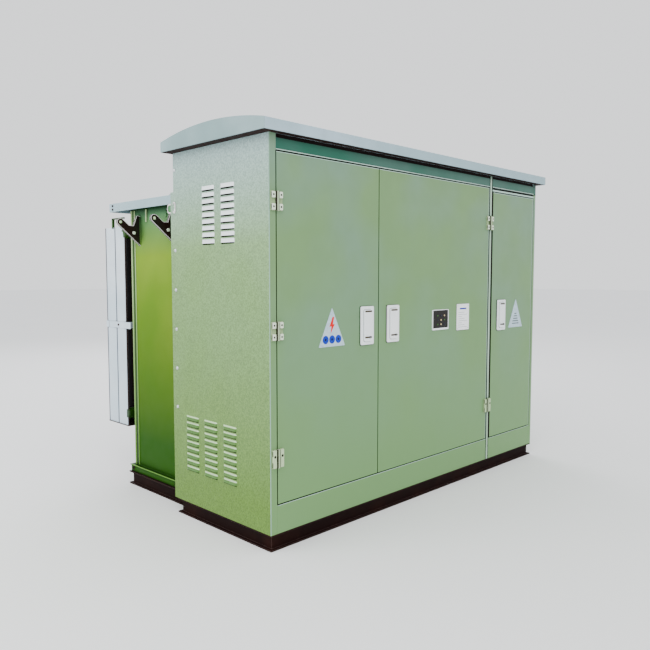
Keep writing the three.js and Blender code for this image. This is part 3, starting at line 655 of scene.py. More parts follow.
def side_screws(side):
    """Dome-head screws down the rear edge, which fix the panel to the tank's plate."""
    wall_x, out = cabinet_wall(side)
    rear = span(side + "_side_panel")[1][1]
    piece = Piece()
    for k in range(PANEL_SCREWS):
        piece.dome_screw("x", (rear - 14, LOWEST_SCREW + k * SCREW_PITCH), wall_x, out, 10)
    piece.done(side + "_panel_screws", "frame", "plated_steel", [STEEL])


def roof():
    """A folded barrel roof with a fascia all round, end plates and a soffit round the cabinet's top."""
    x, y, z = span("roof_cap")
    body_x = (cabinet_wall("left")[0], cabinet_wall("right")[0])
    body_y = span("left_side_panel")[1]
    thick, lip, fascia = 3, 20, 52
    rise = z[1] - z[0] - fascia
    half = (y[1] - y[0]) / 2
    radius = (half * half + rise * rise) / (2 * rise)
    reach = math.asin(half / radius)
    floor = z[0] + thick

    def arc(drop, squeeze, steps=40):
        """The barrel's curve from front to rear, lowered and narrowed."""
        angles = [reach * (2 * k / steps - 1) for k in range(steps + 1)]
        top = z[1] - drop - radius
        return [(middle(y) + radius * math.sin(a) * squeeze, top + radius * math.cos(a)) for a in angles]

    end = [(y[0], z[0])] + arc(0, 1) + [(y[1], z[0])]
    outer = [(body_y[0] + lip, z[0])] + end + [(body_y[1] - lip, z[0])]
    inner = [(body_y[0] + lip, floor), (y[0] + thick, floor)] + arc(thick, (half - thick) / half)
    inner += [(y[1] - thick, floor), (body_y[1] - lip, floor)]
    piece = Piece()
    piece.prism("x", outer + inner[::-1], grown(x, -thick))
    # The end plates take the darker copy of the roof's enamel: painted shade.
    piece.use(1)
    for plate in ((x[0], x[0] + thick), (x[1] - thick, x[1])):
        piece.prism("x", end, plate)
    piece.use(0)
    for gap in ((x[0] + thick, body_x[0] + lip), (body_x[1] - lip, x[1] - thick)):
        piece.block(gap, grown(y, -thick), (z[0], floor))
    piece.done("roof_shell", "frame", "roof_paint", [ROOF, ROOF_END_SHADED], 1.5, 3, 30, replaces=("roof_cap",))
    soffit = Piece()
    under = (z[0] - 1.2, z[0] - 0.05)
    room_x, room_y = grown(x, -4), grown(y, -4)
    for gap in ((room_y[0], body_y[0] - 1), (body_y[1] + 1, room_y[1])):
        soffit.block(room_x, gap, under)
    for gap in ((room_x[0], body_x[0] - 1), (body_x[1] + 1, room_x[1])):
        soffit.block(gap, grown(body_y, 1), under)
    soffit.done("roof_soffit", "frame", "roof_paint", [SOFFIT])


def corner_strips():
    """The side panels' front strips, smooth like the doors, with a pale bead down the cabinet's corners as
    painted highlight.
    """
    piece = Piece()
    for side in ("left", "right"):
        outer, out = cabinet_wall(side)
        inner = span(side + "_door")[0][0 if out < 0 else 1] + out * 4.5
        height = grown(span(side + "_side_panel")[2], -1)
        piece.use(0).block(sorted((outer - out, inner)), (-0.25, 0.1), height)
        piece.use(1).rod("z", (outer - out * 1.6, 1.6), 2.2, height, 12)
    piece.done("corner_strips", "frame", "cabinet_paint", [SAGE, CORNER_HIGHLIGHT])


def header_lips():
    """Pale rods along the headers and sills and a pale band over the right door, painted highlight; a dark
    band over that door and a dark strip under the header's end on the right corner strip, painted shade.
    """
    piece = Piece()
    for node, lift in (("main_header", 1.5), ("right_header", 27.5)):
        x, _, z = span(node)
        piece.rod("x", (-0.2, z[0] + lift), 2.4, grown(x, -1), 12)
    x, _, z = span("right_header")
    piece.block(grown(x, -1), (-0.5, 0.1), (z[0] + 1, z[0] + 11))
    piece.use(2).block(grown(x, -1), (-0.5, 0.1), (z[0] + 12, z[0] + 20))
    piece.use(0)
    for node in ("main_sill", "right_sill"):
        x, _, z = span(node)
        piece.rod("x", (0.4, z[1] - 1.4), 1.3, grown(x, -1), 12)
    strip = (span("right_door")[0][1] + 4.7, cabinet_wall("right")[0] - 0.5)
    piece.use(1).block(strip, (-0.8, -0.3), (HEADER_FOOT, UNDER_ROOF))
    piece.use(2).block(strip, (-0.8, -0.3), (HEADER_FOOT - 5, HEADER_FOOT))
    piece.done("header_lips", "frame", "cabinet_paint", [EDGE_HIGHLIGHT, HEADER_IN_SHADE, SHADE_BLACK])


def vent_screens():
    """Insect screens behind the ventilation gap between the headers and the roof, near-black as painted shade
    in the gap.
    """
    piece = Piece()
    for node in ("main_header", "right_header"):
        x, _, z = span(node)
        piece.block(grown(x, -1), (6, 8), (z[1] + 0.2, UNDER_ROOF))
        piece.block(grown(x, -1), (3.2, 5.8), (z[1] + 0.2, z[1] + 3))
    piece.done("vent_screens", "frame", "dark_plastic", [SHADE_BLACK])


def frame_seals():
    """Near-black rubber in the gaps round the doors, fixed to the headers, sills, post and stop flanges, dark
    as painted shade in the gaps.
    """
    piece = Piece()
    left, centre, right = (door_box(door) for door in ("left", "middle", "right"))
    bottom, top = left[2]
    right_height = (bottom, right[2][1])
    height = grown(left[2], 4)
    sill_top = span("main_sill")[2][1]
    wide = (left[0][0], centre[0][1])
    narrow = (right[0][0], right[0][1] - 18)  # clear of the right door's pivots
    for x, door_top, header in ((wide, top, "main_header"), (narrow, right_height[1], "right_header")):
        piece.block(x, (1, 30), (door_top + 1.2, span(header)[2][0] - 0.1))
        piece.block(x, (1, 30), (sill_top + 0.1, bottom - 1.2))
    piece.block(grown((left[0][1], centre[0][0]), 12), (31.2, 33.8), height)
    post = span("divider_post")[0]
    piece.block((centre[0][1] + 2.4, post[0] + 36), (4, 33.8), height)
    piece.block((post[1] - 36, right[0][0] - 1.8), (4, 33.8), height)
    piece.block((left[0][0] - 6.5, left[0][0] - 1.2), (-0.4, 25), height)
    piece.block((right[0][1] + 4.2, right[0][1] + 4.6), (3, 25), right_height)
    piece.block((right[0][1] + 5.1, right[0][1] + 7.6), (-0.6, -0.3), right_height)
    piece.done("frame_seals", "frame", "gasket_rubber", [SHADE_BLACK], bevel=0.3)


for nodes, material, bevel in (
    (("main_header", "right_header"), HEADER_IN_SHADE, 1.0),
    (("main_sill", "right_sill"), SAGE, 1.0),
    (("divider_post",), POST, 1.0),
    (("left_side_panel", "right_side_panel"), SIDE, 1.4),
    (("high_voltage_barrier", "rear_upper_panel", "control_box"), INNER_SAGE, 1.0),
    (("base_frame", "tank_skid"), BASE, 2.0),
):
    for node in nodes:
        keep(node, material, bevel)
for side in ("left", "right"):
    side_louvres(side)
    side_screws(side)
roof()
corner_strips()
header_lips()
vent_screens()
frame_seals()


# ---------- hinges ----------
BARREL = 7  # the knuckles' radius


def hinge(stem, door_side, tall_plates=False):
    """Pale screw caps over the hinge's pads, or one tall plate on each leaf, with a screw in each."""
    frame_x = span(stem + "_frame_leaf")[0]
    axis_x = (frame_x[0] if door_side < 0 else frame_x[1]) - door_side * BARREL
    enamel = leaf_paint(axis_x)
    screw, lift = (6.5, 12) if tall_plates else (5, 0)
    door = stem.split("_")[0] + "_door"
    for leaf, body, side in (("frame", "frame", -door_side), ("door", door, door_side)):
        node = f"{stem}_{leaf}_leaf"
        keep(node, enamel, 0.6)
        x, _, z = span(node)
        edge = x[0] if side < 0 else x[1]
        cap_x = sorted((edge - side * 3, edge - side * 23))
        caps = [grown(z, -2)] if tall_plates else [(z[0] + 3, middle(z) - 13), (middle(z) + 13, z[1] - 3)]
        piece = Piece()
        for cap_z in caps:
            piece.use(0).prism("y", rounded(cap_x, cap_z, 4), (-12.5, -1))
            head = [(screw, 0), (screw, 1.4), (screw - 2, 1.9)]
            piece.use(1).turned("y", (middle(cap_x), middle(cap_z) + lift), head, 16, -11.5, -1)
        tones = [LONG_CAP if tall_plates else CAP, DARK_GAP]
        piece.done(node + "_caps", body, "lock_white", tones, bevel=1.6, segments=3)


for place in ("top", "middle", "bottom"):
    hinge("left_hinge_" + place, 1, place == "bottom")
for place in ("top", "bottom"):
    hinge("middle_hinge_" + place, -1, place == "bottom")


# ---------- doors ----------
# Which edges of each door carry a pale strip of painted highlight.
LIT_EDGES = {"left": ("top",), "middle": ("right", "top"), "right": ("right", "top")}
PIVOT_HEIGHT = 1104
SPINDLE_HOLE = 17  # the hole in a plate that a handle's spindle passes


def hat(centre, rear, foot, root, crown, depth):
    """A stiffener's section: thin feet against a sheet's rear face and a raised crown, by half widths."""
    half = [(foot, 0), (foot, 1.5), (root, 1.5), (crown, depth)]
    return [(centre + u, rear + v) for u, v in half] + [(centre - u, rear + v) for u, v in half[::-1]]


def four_strips(piece, x, z, width, y, lapped=False):
    """A strip along each side of a rectangle; the level ones stop at the upright ones or lap over them."""
    level = x if lapped else grown(x, -width)
    piece.block((x[0], x[0] + width), y, z)
    piece.block((x[1] - width, x[1]), y, z)
    piece.block(level, y, (z[0], z[0] + width))
    piece.block(level, y, (z[1] - width, z[1]))


def door_inside(door):
    """Hat-section stiffeners behind the door and a rubber seal round its folded edge."""
    x, y, z = door_box(door)
    rear = y[0] + 3
    lock_room = grown(span(door + "_lock_plate")[0], 110)
    ribs = Piece()
    for share in (0.26, 0.5, 0.74):
        place = x[0] + (x[1] - x[0]) * share
        if not lock_room[0] < place < lock_room[1]:
            ribs.prism("z", hat(place, rear, 37, 23, 17, 16), (z[0] + 40, z[1] - 60))
    for place in (z[0] + 160, z[1] - 180):
        ribs.prism("x", [(v, u) for u, v in hat(place, rear, 36, 22, 16, 12)], grown(x, -14))
    ribs.done(door + "_door_stiffeners", door + "_door", "cabinet_paint", [INNER_SAGE], bevel=1.0)
    seal = Piece()
    four_strips(seal, grown(x, -5), grown(z, -5), 12, (y[1] - 7, y[1] - 1), lapped=True)
    seal.done(door + "_door_seal", door + "_door", "gasket_rubber", [RUBBER], bevel=2.5, segments=3)


def door_edges(door):
    """Pale strips along the door's edges that catch the light, painted highlight, and a thin near-black
    rubber lip on its folded edges, dark as painted shade in the gap.
    """
    x, _, z = door_box(door)
    width, gap = 3.2, 0.2
    strips = {"right": ((x[1] - width, x[1] - gap), z), "top": (x, (z[1] - width, z[1] - gap))}
    hem = Piece()
    for side in LIT_EDGES[door]:
        across, up = strips[side]
        hem.block(across, (-0.5, 0.3), grown(up, -gap))
    hem.done(door + "_door_highlight", door + "_door", "cabinet_paint", [EDGE_HIGHLIGHT], bevel=0.3)
    lip = Piece()
    four_strips(lip, grown(x, 0.8), grown(z, 0.8), 0.9, (1, 9))
    lip.done(door + "_door_lip", door + "_door", "gasket_rubber", [SHADE_BLACK])


def lock(door, cam):
    """A white escutcheon on a near-black gasket that outlines it as painted shade, a grey ring of painted
    shade round the handle, and a swing handle with finger slots darkened as painted shade, its spindle and
    latch cam.
    """
    x, _, z = span(door + "_lock_plate")
    _, handle_y, handle_z = span(door + "_swing_handle")
    centre = middle(x)
    lever_x = around(centre, 31)
    pivot = (centre, PIVOT_HEIGHT)
    gasket = rounded(grown(x, 2.2), (z[0] - 2.6, z[1] + 1.4), 10)
    recess = rounded(grown(lever_x, 2.5), grown(handle_z, 2.5), 12)
    white = {"bevel": 2.2, "segments": 4, "replaces": (door + "_lock_plate",)}
    for name, outline, y, slot, tone, finish in (
        ("lock_gasket", gasket, (-3.5, -0.2), "gasket_rubber", SHADE_BLACK, {"bevel": 0.5}),
        ("escutcheon", rounded(x, z, 9), (-8, -3.6), "lock_white", WHITE, white),
        ("escutcheon_recess", recess, (-8.3, -7.9), "dark_plastic", RECESS_SHADE, {}),
    ):
        plate = Piece()
        plate.ring("y", outline, hole(outline, pivot, SPINDLE_HOLE), y)
        plate.done(f"{door}_{name}", door + "_door", slot, [tone], **finish)
    front = handle_y[0]
    lever = Piece()
    lever.use(0).prism("y", rounded(lever_x, handle_z, 10), (front + 1.5, -8.6))
    lever.prism("y", rounded(grown(lever_x, -5), (handle_z[0] + 34, handle_z[1] - 22), 6), (front, front + 2))
    lever.use(1)
    for low in (handle_z[1] - 13, handle_z[0] + 17):
        lever.prism("y", rounded(grown(lever_x, -3), (low, low + 9), 4), (front + 0.9, front + 2))
    keyhole = (centre + 13, handle_z[0] + 21.5)
    lever.use(4).turned("y", keyhole, [(6.5, -2), (6.5, 0.2), (5.5, 0.8)], 20, front, -1)
    lever.use(2).block(around(keyhole[0], 1), (front - 1, front - 0.6), around(keyhole[1], 3.5))
    lever.use(3).rod("y", pivot, 8, (-8.6, 22))
    lever.rod("y", pivot, 15, (14, 22))
    lever.block(sorted((centre, centre + cam)), (15, 21), around(PIVOT_HEIGHT, 12))
    lever.done(door + "_handle", door + "_handle", "lock_white", [WHITE, SLOT_SHADE, STEEL, STEEL, DARK_GAP],
               bevel=1.0, segments=3, replaces=(door + "_swing_handle",))


for door, cam in (("left", 88), ("middle", -105), ("right", -102)):
    keep(door + "_door", SAGE, 1.0)
    door_edges(door)
    door_inside(door)
    lock(door, cam)


# ---------- plates ----------
def round_triangle(x, z, inset, radius, steps=5):
    """A triangle on its base with round corners, shrunk towards its middle by a share."""
    corners = [Vector((x[0], z[0])), Vector((x[1], z[0])), Vector((middle(x), z[1]))]
    centre = (corners[0] + corners[1] + corners[2]) / 3
    corners = [centre + (c - centre) * (1 - inset) for c in corners]
    outline = []
    for i, corner in enumerate(corners):
        back = (corners[i - 1] - corner).normalized()
        ahead = (corners[(i + 1) % 3] - corner).normalized()
        for k in range(steps + 1):
            t = k / steps
            place = corner + radius * ((1 - t) ** 2 * back + t ** 2 * ahead)
            outline.append((place.x, place.y))
    return outline


def warning_plate(side):
    """A plain triangular plate with a raised rim, rivets and a generic mark."""
    node = side + "_warning_plate"
    x, _, z = span(node)
    centre = middle(x)
    outline = round_triangle(x, z, 0, 7)
    piece = Piece()
    piece.use(0).prism("y", outline, (-2.3, -0.3))
    piece.ring("y", outline, round_triangle(x, z, 0.09, 6), (-3.0, -2.2))
    if side == "left":
        bolt = [(4, 150), (-19, 100), (-4, 103), (-10, 66), (19, 114), (5, 112), (15, 150)]
        piece.use(1).prism("y", [(centre + u, z[0] + v) for u, v in bolt], (-3.1, -2.2))
        for u in (-46, 0, 46):
            place = (centre + u, z[0] + 36)
            piece.use(2).turned("y", place, [(21, 2.2), (21, 3.2), (11, 3.2), (11, 2.6)], 28, 0, -1)
            piece.use(4).rod("y", place, 6, (-2.9, -2.5), 20)
    else:
        for k in range(5):
            low = z[0] + 92 - k * 17
            piece.use(3).block(around(centre, 14 + 8 * k), (-2.7, -2.2), (low, low + 6))
    for place in ((x[0] + 20, z[0] + 12), (x[1] - 20, z[0] + 12), (centre, z[1] - 34)):
        piece.use(0).dome_screw("y", place, -2.2, -1, 3.5)
    tones = [SIGN_PLATE, SIGN_RED, SIGN_BLUE, GREY_INK, BLACK]
    piece.done(node + "_face", side + "_door", "plated_steel", tones, bevel=0.3, replaces=(node,))


def meter_window():
    """A thin white bezel, deeper below, round a dark pane with small round indicators behind it."""
    x, _, z = span("meter_window")
    pane_x, pane_z = grown(x, -4), (z[0] + 11, z[1] - 4)
    piece = Piece()
    piece.use(0).ring("y", rounded(x, z, 5), rounded(pane_x, pane_z, 3), (-7, -0.3))
    piece.use(1).prism("y", rounded(grown(pane_x, 1), grown(pane_z, 1), 3), (-4, -0.4))
    for row, tones in enumerate(((3, 2, 4), (4, 2, 3), (3, 4, 2))):
        for column, tone in enumerate(tones):
            place = (pane_x[0] + 50 + column * 34, pane_z[0] + 22 + row * 26)
            piece.use(tone).dome_screw("y", place, -3.9, -1, 5.5 if tone == 2 else 4.5)
    piece.done("meter_window_face", "middle_door", "dark_plastic", [WHITE, BLACK, BEIGE, LAMP_GREEN, SEAM],
               bevel=0.8, segments=3, replaces=("meter_window",))


def rating_plate():
    """A plain engraved plate: a raised rim, a blue band and ruled lines, with a rivet in each corner."""
    x, _, z = span("rating_plate")
    outline = rounded(x, z, 4)
    piece = Piece()
    # A near-black backing, a little larger than the plate and deeper below: painted shade round it.
    piece.use(4).prism("y", rounded(grown(x, 1.5), (z[0] - 2, z[1] + 1), 5), (-1.2, -0.2))
    piece.use(0).prism("y", outline, (-2.3, -0.9))
    piece.ring("y", outline, rounded(grown(x, -6), grown(z, -6), 3), (-3.4, -2.2))
    piece.use(1).block((x[0] + 34, x[1] - 30), (-2.6, -2.2), (z[1] - 34, z[1] - 25))
    for k in range(8):
        low = z[0] + 18 + k * 13
        piece.use(2).block((x[0] + 18, x[1] - 18 - 30 * (k % 3)), (-2.45, -2.2), (low, low + 1.5))
    for u in grown(x, -11):
        for v in grown(z, -11):
            piece.use(3).dome_screw("y", (u, v), -2.2, -1, 3)
    tones = [WHITE, SIGN_BLUE, GREY_INK, STEEL, SHADE_BLACK]
    piece.done("rating_plate_face", "middle_door", "lock_white", tones, bevel=0.3, replaces=("rating_plate",))


warning_plate("left")
warning_plate("right")
meter_window()
rating_plate()


# ---------- tank ----------
TANK_HALF = 1140  # from the middle of the tank to each side wall
LUG_Y = (956, 1332)
LUG_HALF = 6
LUG_OUTLINE = (  # distance out from the wall, and height
    (0, 1486), (0, 1664), (22, 1664), (44, 1604), (74, 1606), (116, 1641),
    (127, 1644), (138, 1642), (146, 1636), (150, 1626), (148, 1614), (140, 1605),
)
LUG_SKINS = (  # how far a skin's outline grows, its half width, and its material
    (1.0, LUG_HALF + 0.5, 1),
    (1.4, LUG_HALF - 1.5, 0),
    (-1.6, LUG_HALF + 1.2, 0),
)
FOOT_TOP = 123  # the top of the angle along the tank's foot
RIB_Z = (1626, 1700)
BRACKET_HEIGHT = 1668
COVER_BOLTS = 12
PLUG_PLACE = (-760, 1180)
EYE_X = 1000


def inset_outline(outline, by):
    """The outline moved inwards by a distance, corner by corner."""
    count = len(outline)
    area = sum(outline[i - 1][0] * outline[i][1] - outline[i][0] * outline[i - 1][1] for i in range(count))
    turn = 1 if area > 0 else -1
    moved = []
    for i in range(count):
        corner = Vector(outline[i])
        back = (corner - Vector(outline[i - 1])).normalized()
        ahead = (Vector(outline[(i + 1) % count]) - corner).normalized()
        inward = (Vector((-back.y, back.x)) + Vector((-ahead.y, ahead.x))) * turn
        moved.append(tuple(corner + inward.normalized() * by / max(0.5, inward.length / 2)))
    return moved


def lug_skins(side, out):
    """Dark enamel on the lifting lugs' faces as painted shade, and a pale one on their edges as painted
    highlight.
    """
    piece = Piece()
    for y in LUG_Y:
        for grow, half, tone in LUG_SKINS:
            outline = [(out * (TANK_HALF + u), v) for u, v in inset_outline(LUG_OUTLINE, -grow)]
            piece.use(tone).prism("y", outline, around(y, half))
    piece.done(side + "_lug_skins", "frame", "tank_paint", [LUG_SHADE, LUG_HIGHLIGHT])


def lug_fittings(side, out):
    """Bosses, bolts and weld beads of the lifting lugs on one side of the tank."""
    hook = (out * (TANK_HALF + 129), 1623)
    bolt = (out * (TANK_HALF + 44), 1562)
    metal = Piece()
    welds = Piece()
    for y in LUG_Y:
        # The bosses are in the pale tank green of painted highlight.
        metal.use(0).turned("y", hook, [(8, -9), (9, -8), (9, 8), (8, 9)], 24, y)
        metal.use(1).rod("y", hook, 5, around(y, 10), 16)
        metal.use(0).rod("y", bolt, 16.5, around(y, 5), 28)
        metal.use(1).hex_bolt("y", bolt, y - 5, -1, 10, 8)
        for bead in around(y, 7):
            welds.tube([(out * (TANK_HALF + 1), bead, 1490 + 12 * k) for k in range(15)], 3.5)
    metal.done(side + "_lug_bosses", "frame", "tank_paint", [TANK_HIGHLIGHT, CAP], bevel=0.8)
    welds.done(side + "_lug_welds", "frame", "tank_paint", [TANK])


def tank_fittings(side, out):
    """On a tank wall: a rib, a plug, the folded rear corner, and the foot's ledge, bolts and weld bead."""
    wall = out * TANK_HALF
    height = (FOOT_TOP, RIB_Z[1])
    piece = Piece()
    # The rib, the corner's rods and the ledge's rod are pale, painted highlight; the strip between the
    # corner's rods is painted shade.
    piece.use(1).block(sorted((wall, wall + out * 9)), (1244, 1250), RIB_Z)
    piece.use(0).turned("x", (1021, 1651), [(27, 0), (27, 7), (22, 11), (12, 11), (12, 15)], 28, wall, out)
    for corner_y, radius in ((1388, 4), (1424, 6)):
        piece.use(1).rod("z", (wall + out, corner_y), radius, height, 16)
    piece.use(3).block(sorted((wall, wall + out * 1.5)), (1396, 1416), height)
    for place in (944, 1424):
        piece.use(2).hex_bolt("x", (place, FOOT_TOP - 21), wall + out * 20, out, 8, 7)
    piece.use(1).rod("y", (wall + out * 27, FOOT_TOP - 1), 3, (820, 1452), 10)
    piece.use(0).tube([(wall + out, 830 + 43 * k, FOOT_TOP + 1) for k in range(14)], 4)
    piece.done(side + "_tank_fittings", "frame", "tank_paint", [TANK, TANK_HIGHLIGHT, BASE, TANK_DEEP], bevel=0.7)


def rear_brackets(side):
    """A lifting eye bar on the cabinet's rear corner strip, and a U-shaped cable bracket behind it."""
    wall, out = cabinet_wall(side)
    eye = []
    for k in range(25):
        angle = 2 * math.pi * k / 24
        lift = 18 if math.sin(angle) >= 0 else -18
        eye.append((wall + out * 4, 774 + 9 * math.cos(angle), BRACKET_HEIGHT + lift + 10 * math.sin(angle)))
    arm = ((828, 22), (852, 22), (862, 16), (866, 0), (862, -16), (852, -22), (828, -22))
    piece = Piece()
    # The eye bar is in the lugs' pale enamel: painted highlight.
    piece.use(0).tube(eye, 3)
    piece.tube([(wall - out * 14, y, BRACKET_HEIGHT + lift) for y, lift in arm], 4, 10)
    piece.use(1).block(around(wall - out * 14, 2), (822, 862), around(BRACKET_HEIGHT, 18))
    piece.done(side + "_rear_brackets", "frame", "tank_paint", [LUG_HIGHLIGHT, TANK], bevel=0.3)


def cover_bolts():
    """Pairs of bolts at the ends of the cover's skirt and a row along its rear."""
    x, y, z = span("tank_cover")
    piece = Piece()
    for wall, out in ((x[0], -1), (x[1], 1)):
        for place in (y[0] + 30, y[1] - 45):
            for lift in (14, 36):
                piece.hex_bolt("x", (place, z[0] + lift), wall, out, 6, 5)
    row = grown(x, -70)
    for k in range(COVER_BOLTS):
        piece.hex_bolt("y", (row[0] + k * (row[1] - row[0]) / (COVER_BOLTS - 1), z[0] + 20), y[1], 1, 6, 5)
    piece.done("cover_bolts", "frame", "base_paint", [BASE], bevel=0.4)


def cover_fittings():
    """A filling plug and two lifting eyes on top of the cover."""
    top = span("tank_cover")[2][1]
    piece = Piece()
    piece.use(0).turned("z", PLUG_PLACE, [(46, -1), (46, 8), (30, 10), (30, 34)], 32, top)
    piece.use(1).turned("z", PLUG_PLACE, [(34, 33), (34, 46), (28, 50)], 6, top)
    angles = [math.radians(13 * k - 40) for k in range(21)]
    for centre in (-EYE_X, EYE_X):
        eye = [(centre + 26 * math.cos(a), PLUG_PLACE[1], top + 22 + 26 * math.sin(a)) for a in angles]
        piece.tube(eye, 6, 12)
    piece.done("cover_fittings", "frame", "roof_paint", [ROOF, STEEL], bevel=1.0)


keep("tank_shell", TANK, 1.5)
keep("tank_front_plate", SIDE, 1.2)
keep("tank_cover", ROOF, 2.0, 3)
for node, material in (("cover_gasket", RUBBER), ("core", CORE_STEEL)):
    keep(node, material, 0)
for phase in "abc":
    keep("coil_" + phase, COPPER, 0)
for side, out in SIDES:
    lug_skins(side, out)
    lug_fittings(side, out)
    tank_fittings(side, out)
    rear_brackets(side)
cover_bolts()
cover_fittings()


# ---------- radiators ----------
PANELS = 9
FLUTES = 2
PANEL_THICK = 14
PANEL_DEPTH = 252
SEAM_HALF = 1.6  # half of a panel's thickness at its welded seams
STRAP_Z = (975, 1015)
SHADED_DEPTH = 124  # how much of each inner panel, on the side towards the tank, is near-black: painted shade in the gap between panels


def panel_section(y, steps=8):
    """Half of a pressed panel's section: how far its face stands out at points across its width."""
    seam, swell = 11, PANEL_THICK / 2 - SEAM_HALF
    width = (y[1] - y[0] - seam * (FLUTES + 1)) / FLUTES
    points = [(y[0], SEAM_HALF)]
    for i in range(FLUTES):
        start = y[0] + seam + i * (width + seam)
        points.append((start, SEAM_HALF))
        for k in range(1, steps):
            fullness = min(1, math.sin(math.pi * k / steps) ** 0.45 * 1.04)
            points.append((start + width * k / steps, SEAM_HALF + swell * fullness))
        points.append((start + width, SEAM_HALF))
    return points + [(y[1], SEAM_HALF)]


def radiator_panel(piece, x, y, z, shade_depth):
    """A pressed double-skin panel with flutes that fade out at both ends, near-black for a way from the tank
    as painted shade.
    """
    section = panel_section(y)
    flare = ((0, 0), (18, 0), (34, 0.75), (60, 1))
    levels = [(z[0] + rise, full) for rise, full in flare]
    levels += [(z[1] - rise, full) for rise, full in flare[::-1]]
    skins = [(-1, place, half) for place, half in section]
    skins += [(1, place, half) for place, half in section[::-1]]
    rings = []
    for level, full in levels:
        spots = [(x + out * (SEAM_HALF + (half - SEAM_HALF) * full), place) for out, place, half in skins]
        rings.append([piece.bm.verts.new((u, v, level)) for u, v in spots])
    count = len(skins)
    sides = piece.quads(rings)
    faces = piece.ends(rings) + sides
    seams = []
    for k, face in enumerate(sides):
        i, j = k % count, (k + 1) % count
        flat = skins[i][2] == skins[j][2] == SEAM_HALF
        if flat and skins[i][0] == skins[j][0]:
            seams.append(face)
    piece.use(0).skin(faces)
    piece.use(4).paint(seams)
    piece.use(3).paint([f for f in sides if max(v.co.y for v in f.verts) < y[0] + shade_depth])


def radiator(side):
    """A bank of panels between two header pipes, with flanges to the tank, a strap and a hook on top."""
    node = "radiator_" + side
    x, y, z = span(node)
    panel_y = (y[1] - PANEL_DEPTH, y[1])
    panel_z = (z[0], z[1] - 58)
    tank_rear = span("tank_skid")[1][1] - 21
    pitch = (x[1] - x[0] - PANEL_THICK) / (PANELS - 1)
    piece = Piece()
    for i in range(PANELS):
        # The outermost panels get only a thin edge of painted shade; the inner ones get it for a longer way
        # towards the tank.
        shade_depth = SHADED_DEPTH if 0 < i < PANELS - 1 else 12
        radiator_panel(piece, x[0] + PANEL_THICK / 2 + i * pitch, panel_y, panel_z, shade_depth)
    header_y = panel_y[0] + 17
    low, high = grown(x, -3)
    for level in (panel_z[0] + 80, panel_z[1] - 40):
        pipe = [(26, low), (34, low + 10), (34, high - 10), (26, high)]
        piece.use(1).turned("x", (header_y, level), pipe, 28)
        piece.rod("y", (middle(x), level), 30, (tank_rear, header_y), 28)
        for flange in (tank_rear + 0.5, tank_rear + 16):
            piece.rod("y", (middle(x), level), 48, (flange, flange + 12), 32)
    piece.use(0).block((x[0] - 2, x[0] - 0.2), (panel_y[0] - 56, panel_y[1] - 2), STRAP_Z)
    piece.block((x[0] - 2, x[1] - 2), (y[1] - 40, y[1] - 36), STRAP_Z)
    piece.block((x[0] + 2, x[1] - 2), (panel_y[0] - 6, panel_y[0] - 1), STRAP_Z)
    piece.use(2).hex_bolt("x", (panel_y[0] + 90, middle(STRAP_Z)), x[0] - 2, -1, 6, 5)
    hook = (x[0] + 1, x[0] + PANEL_THICK - 1)
    piece.use(1).block(hook, (1632, 1648), (panel_z[1] - 6, z[1]))
    piece.block(hook, (1500, 1648), (z[1] - 8, z[1]))
    # A near-black strip along the panels' feet: painted shade.
    piece.use(3).block(grown(x, -1), (panel_y[0] - 2, panel_y[1]), (panel_z[0] - 0.4, panel_z[0] + 3))
    tones = [RADIATOR, TANK_DEEP, BASE, BASE, SEAM]
    piece.done(node + "_panels", "frame", "radiator_paint", tones, smooth=40, replaces=(node,))


for side in ("left", "middle", "right"):
    radiator(side)


# ---------- fittings behind the doors ----------
PLATE_Y = span("tank_front_plate")[1][0]
BUSHING_HEIGHT = {True: 1180, False: 1150}  # by whether it is a low-voltage one
EARTH_BARS = ((-1190, -520), (-440, 610))
EARTH_Z = (420, 460)
COLLAR = [(28, -50), (28, 0.4), (58, 0.4), (58, 10), (54, 13)]  # every bushing's foot in the plate


def sheds(inner, outer, start, stop, count):
    """A bushing's rain sheds: (radius, distance out) points that swell and shrink along it."""
    points = []
    for k in range(count * 8 + 1):
        ripple = 0.5 - 0.5 * math.cos(2 * math.pi * k / 8)
        points.append((inner + (outer - inner) * ripple ** 1.5, start + (stop - start) * k / (count * 8)))
    return points


def bushing(node, low_voltage):
    """A resin bushing bolted to the plate: shedded with a copper spade, or a plain high-voltage cone."""
    x, y, _ = span(node)
    centre = (middle(x), BUSHING_HEIGHT[low_voltage])
    piece = Piece()
    if low_voltage:
        body = COLLAR + [(36, 14)] + sheds(26, 50, 16, 74, 3) + [(15, 76)]
        piece.use(0).turned("y", centre, body, 40, PLATE_Y, -1)
        piece.use(1).rod("y", centre, 14, (PLATE_Y - 98, PLATE_Y - 70), 24)
        spade = rounded(around(centre[0], 38), (centre[1] - 60, centre[1] + 50), 6)
        piece.prism("y", spade, (y[0], y[0] + 12))
        for u in (-18, 18):
            for v in (-36, 8):
                piece.use(2).hex_bolt("y", (centre[0] + u, centre[1] + v), y[0], -1, 8, 6)
    else:
        cone = [(46, 16), (42, 40), (40, 70), (33, 74), (28, 104), (24, 139), (12, 139.5)]
        piece.use(0).turned("y", centre, COLLAR + cone, 40, PLATE_Y, -1)
        piece.use(1).turned("y", centre, [(9, 138), (9, 140)], 20, PLATE_Y, -1)
    for k in range(4):
        angle = math.radians(45 + 90 * k)
        bolt = (centre[0] + 49 * math.cos(angle), centre[1] + 49 * math.sin(angle))
        piece.use(2).hex_bolt("y", bolt, PLATE_Y - 10, -1, 5, 5)
    slot = "copper" if low_voltage else "epoxy"
    piece.done(node + "_body", "frame", slot, [EPOXY, COPPER, STEEL], bevel=0.5, replaces=(node,))


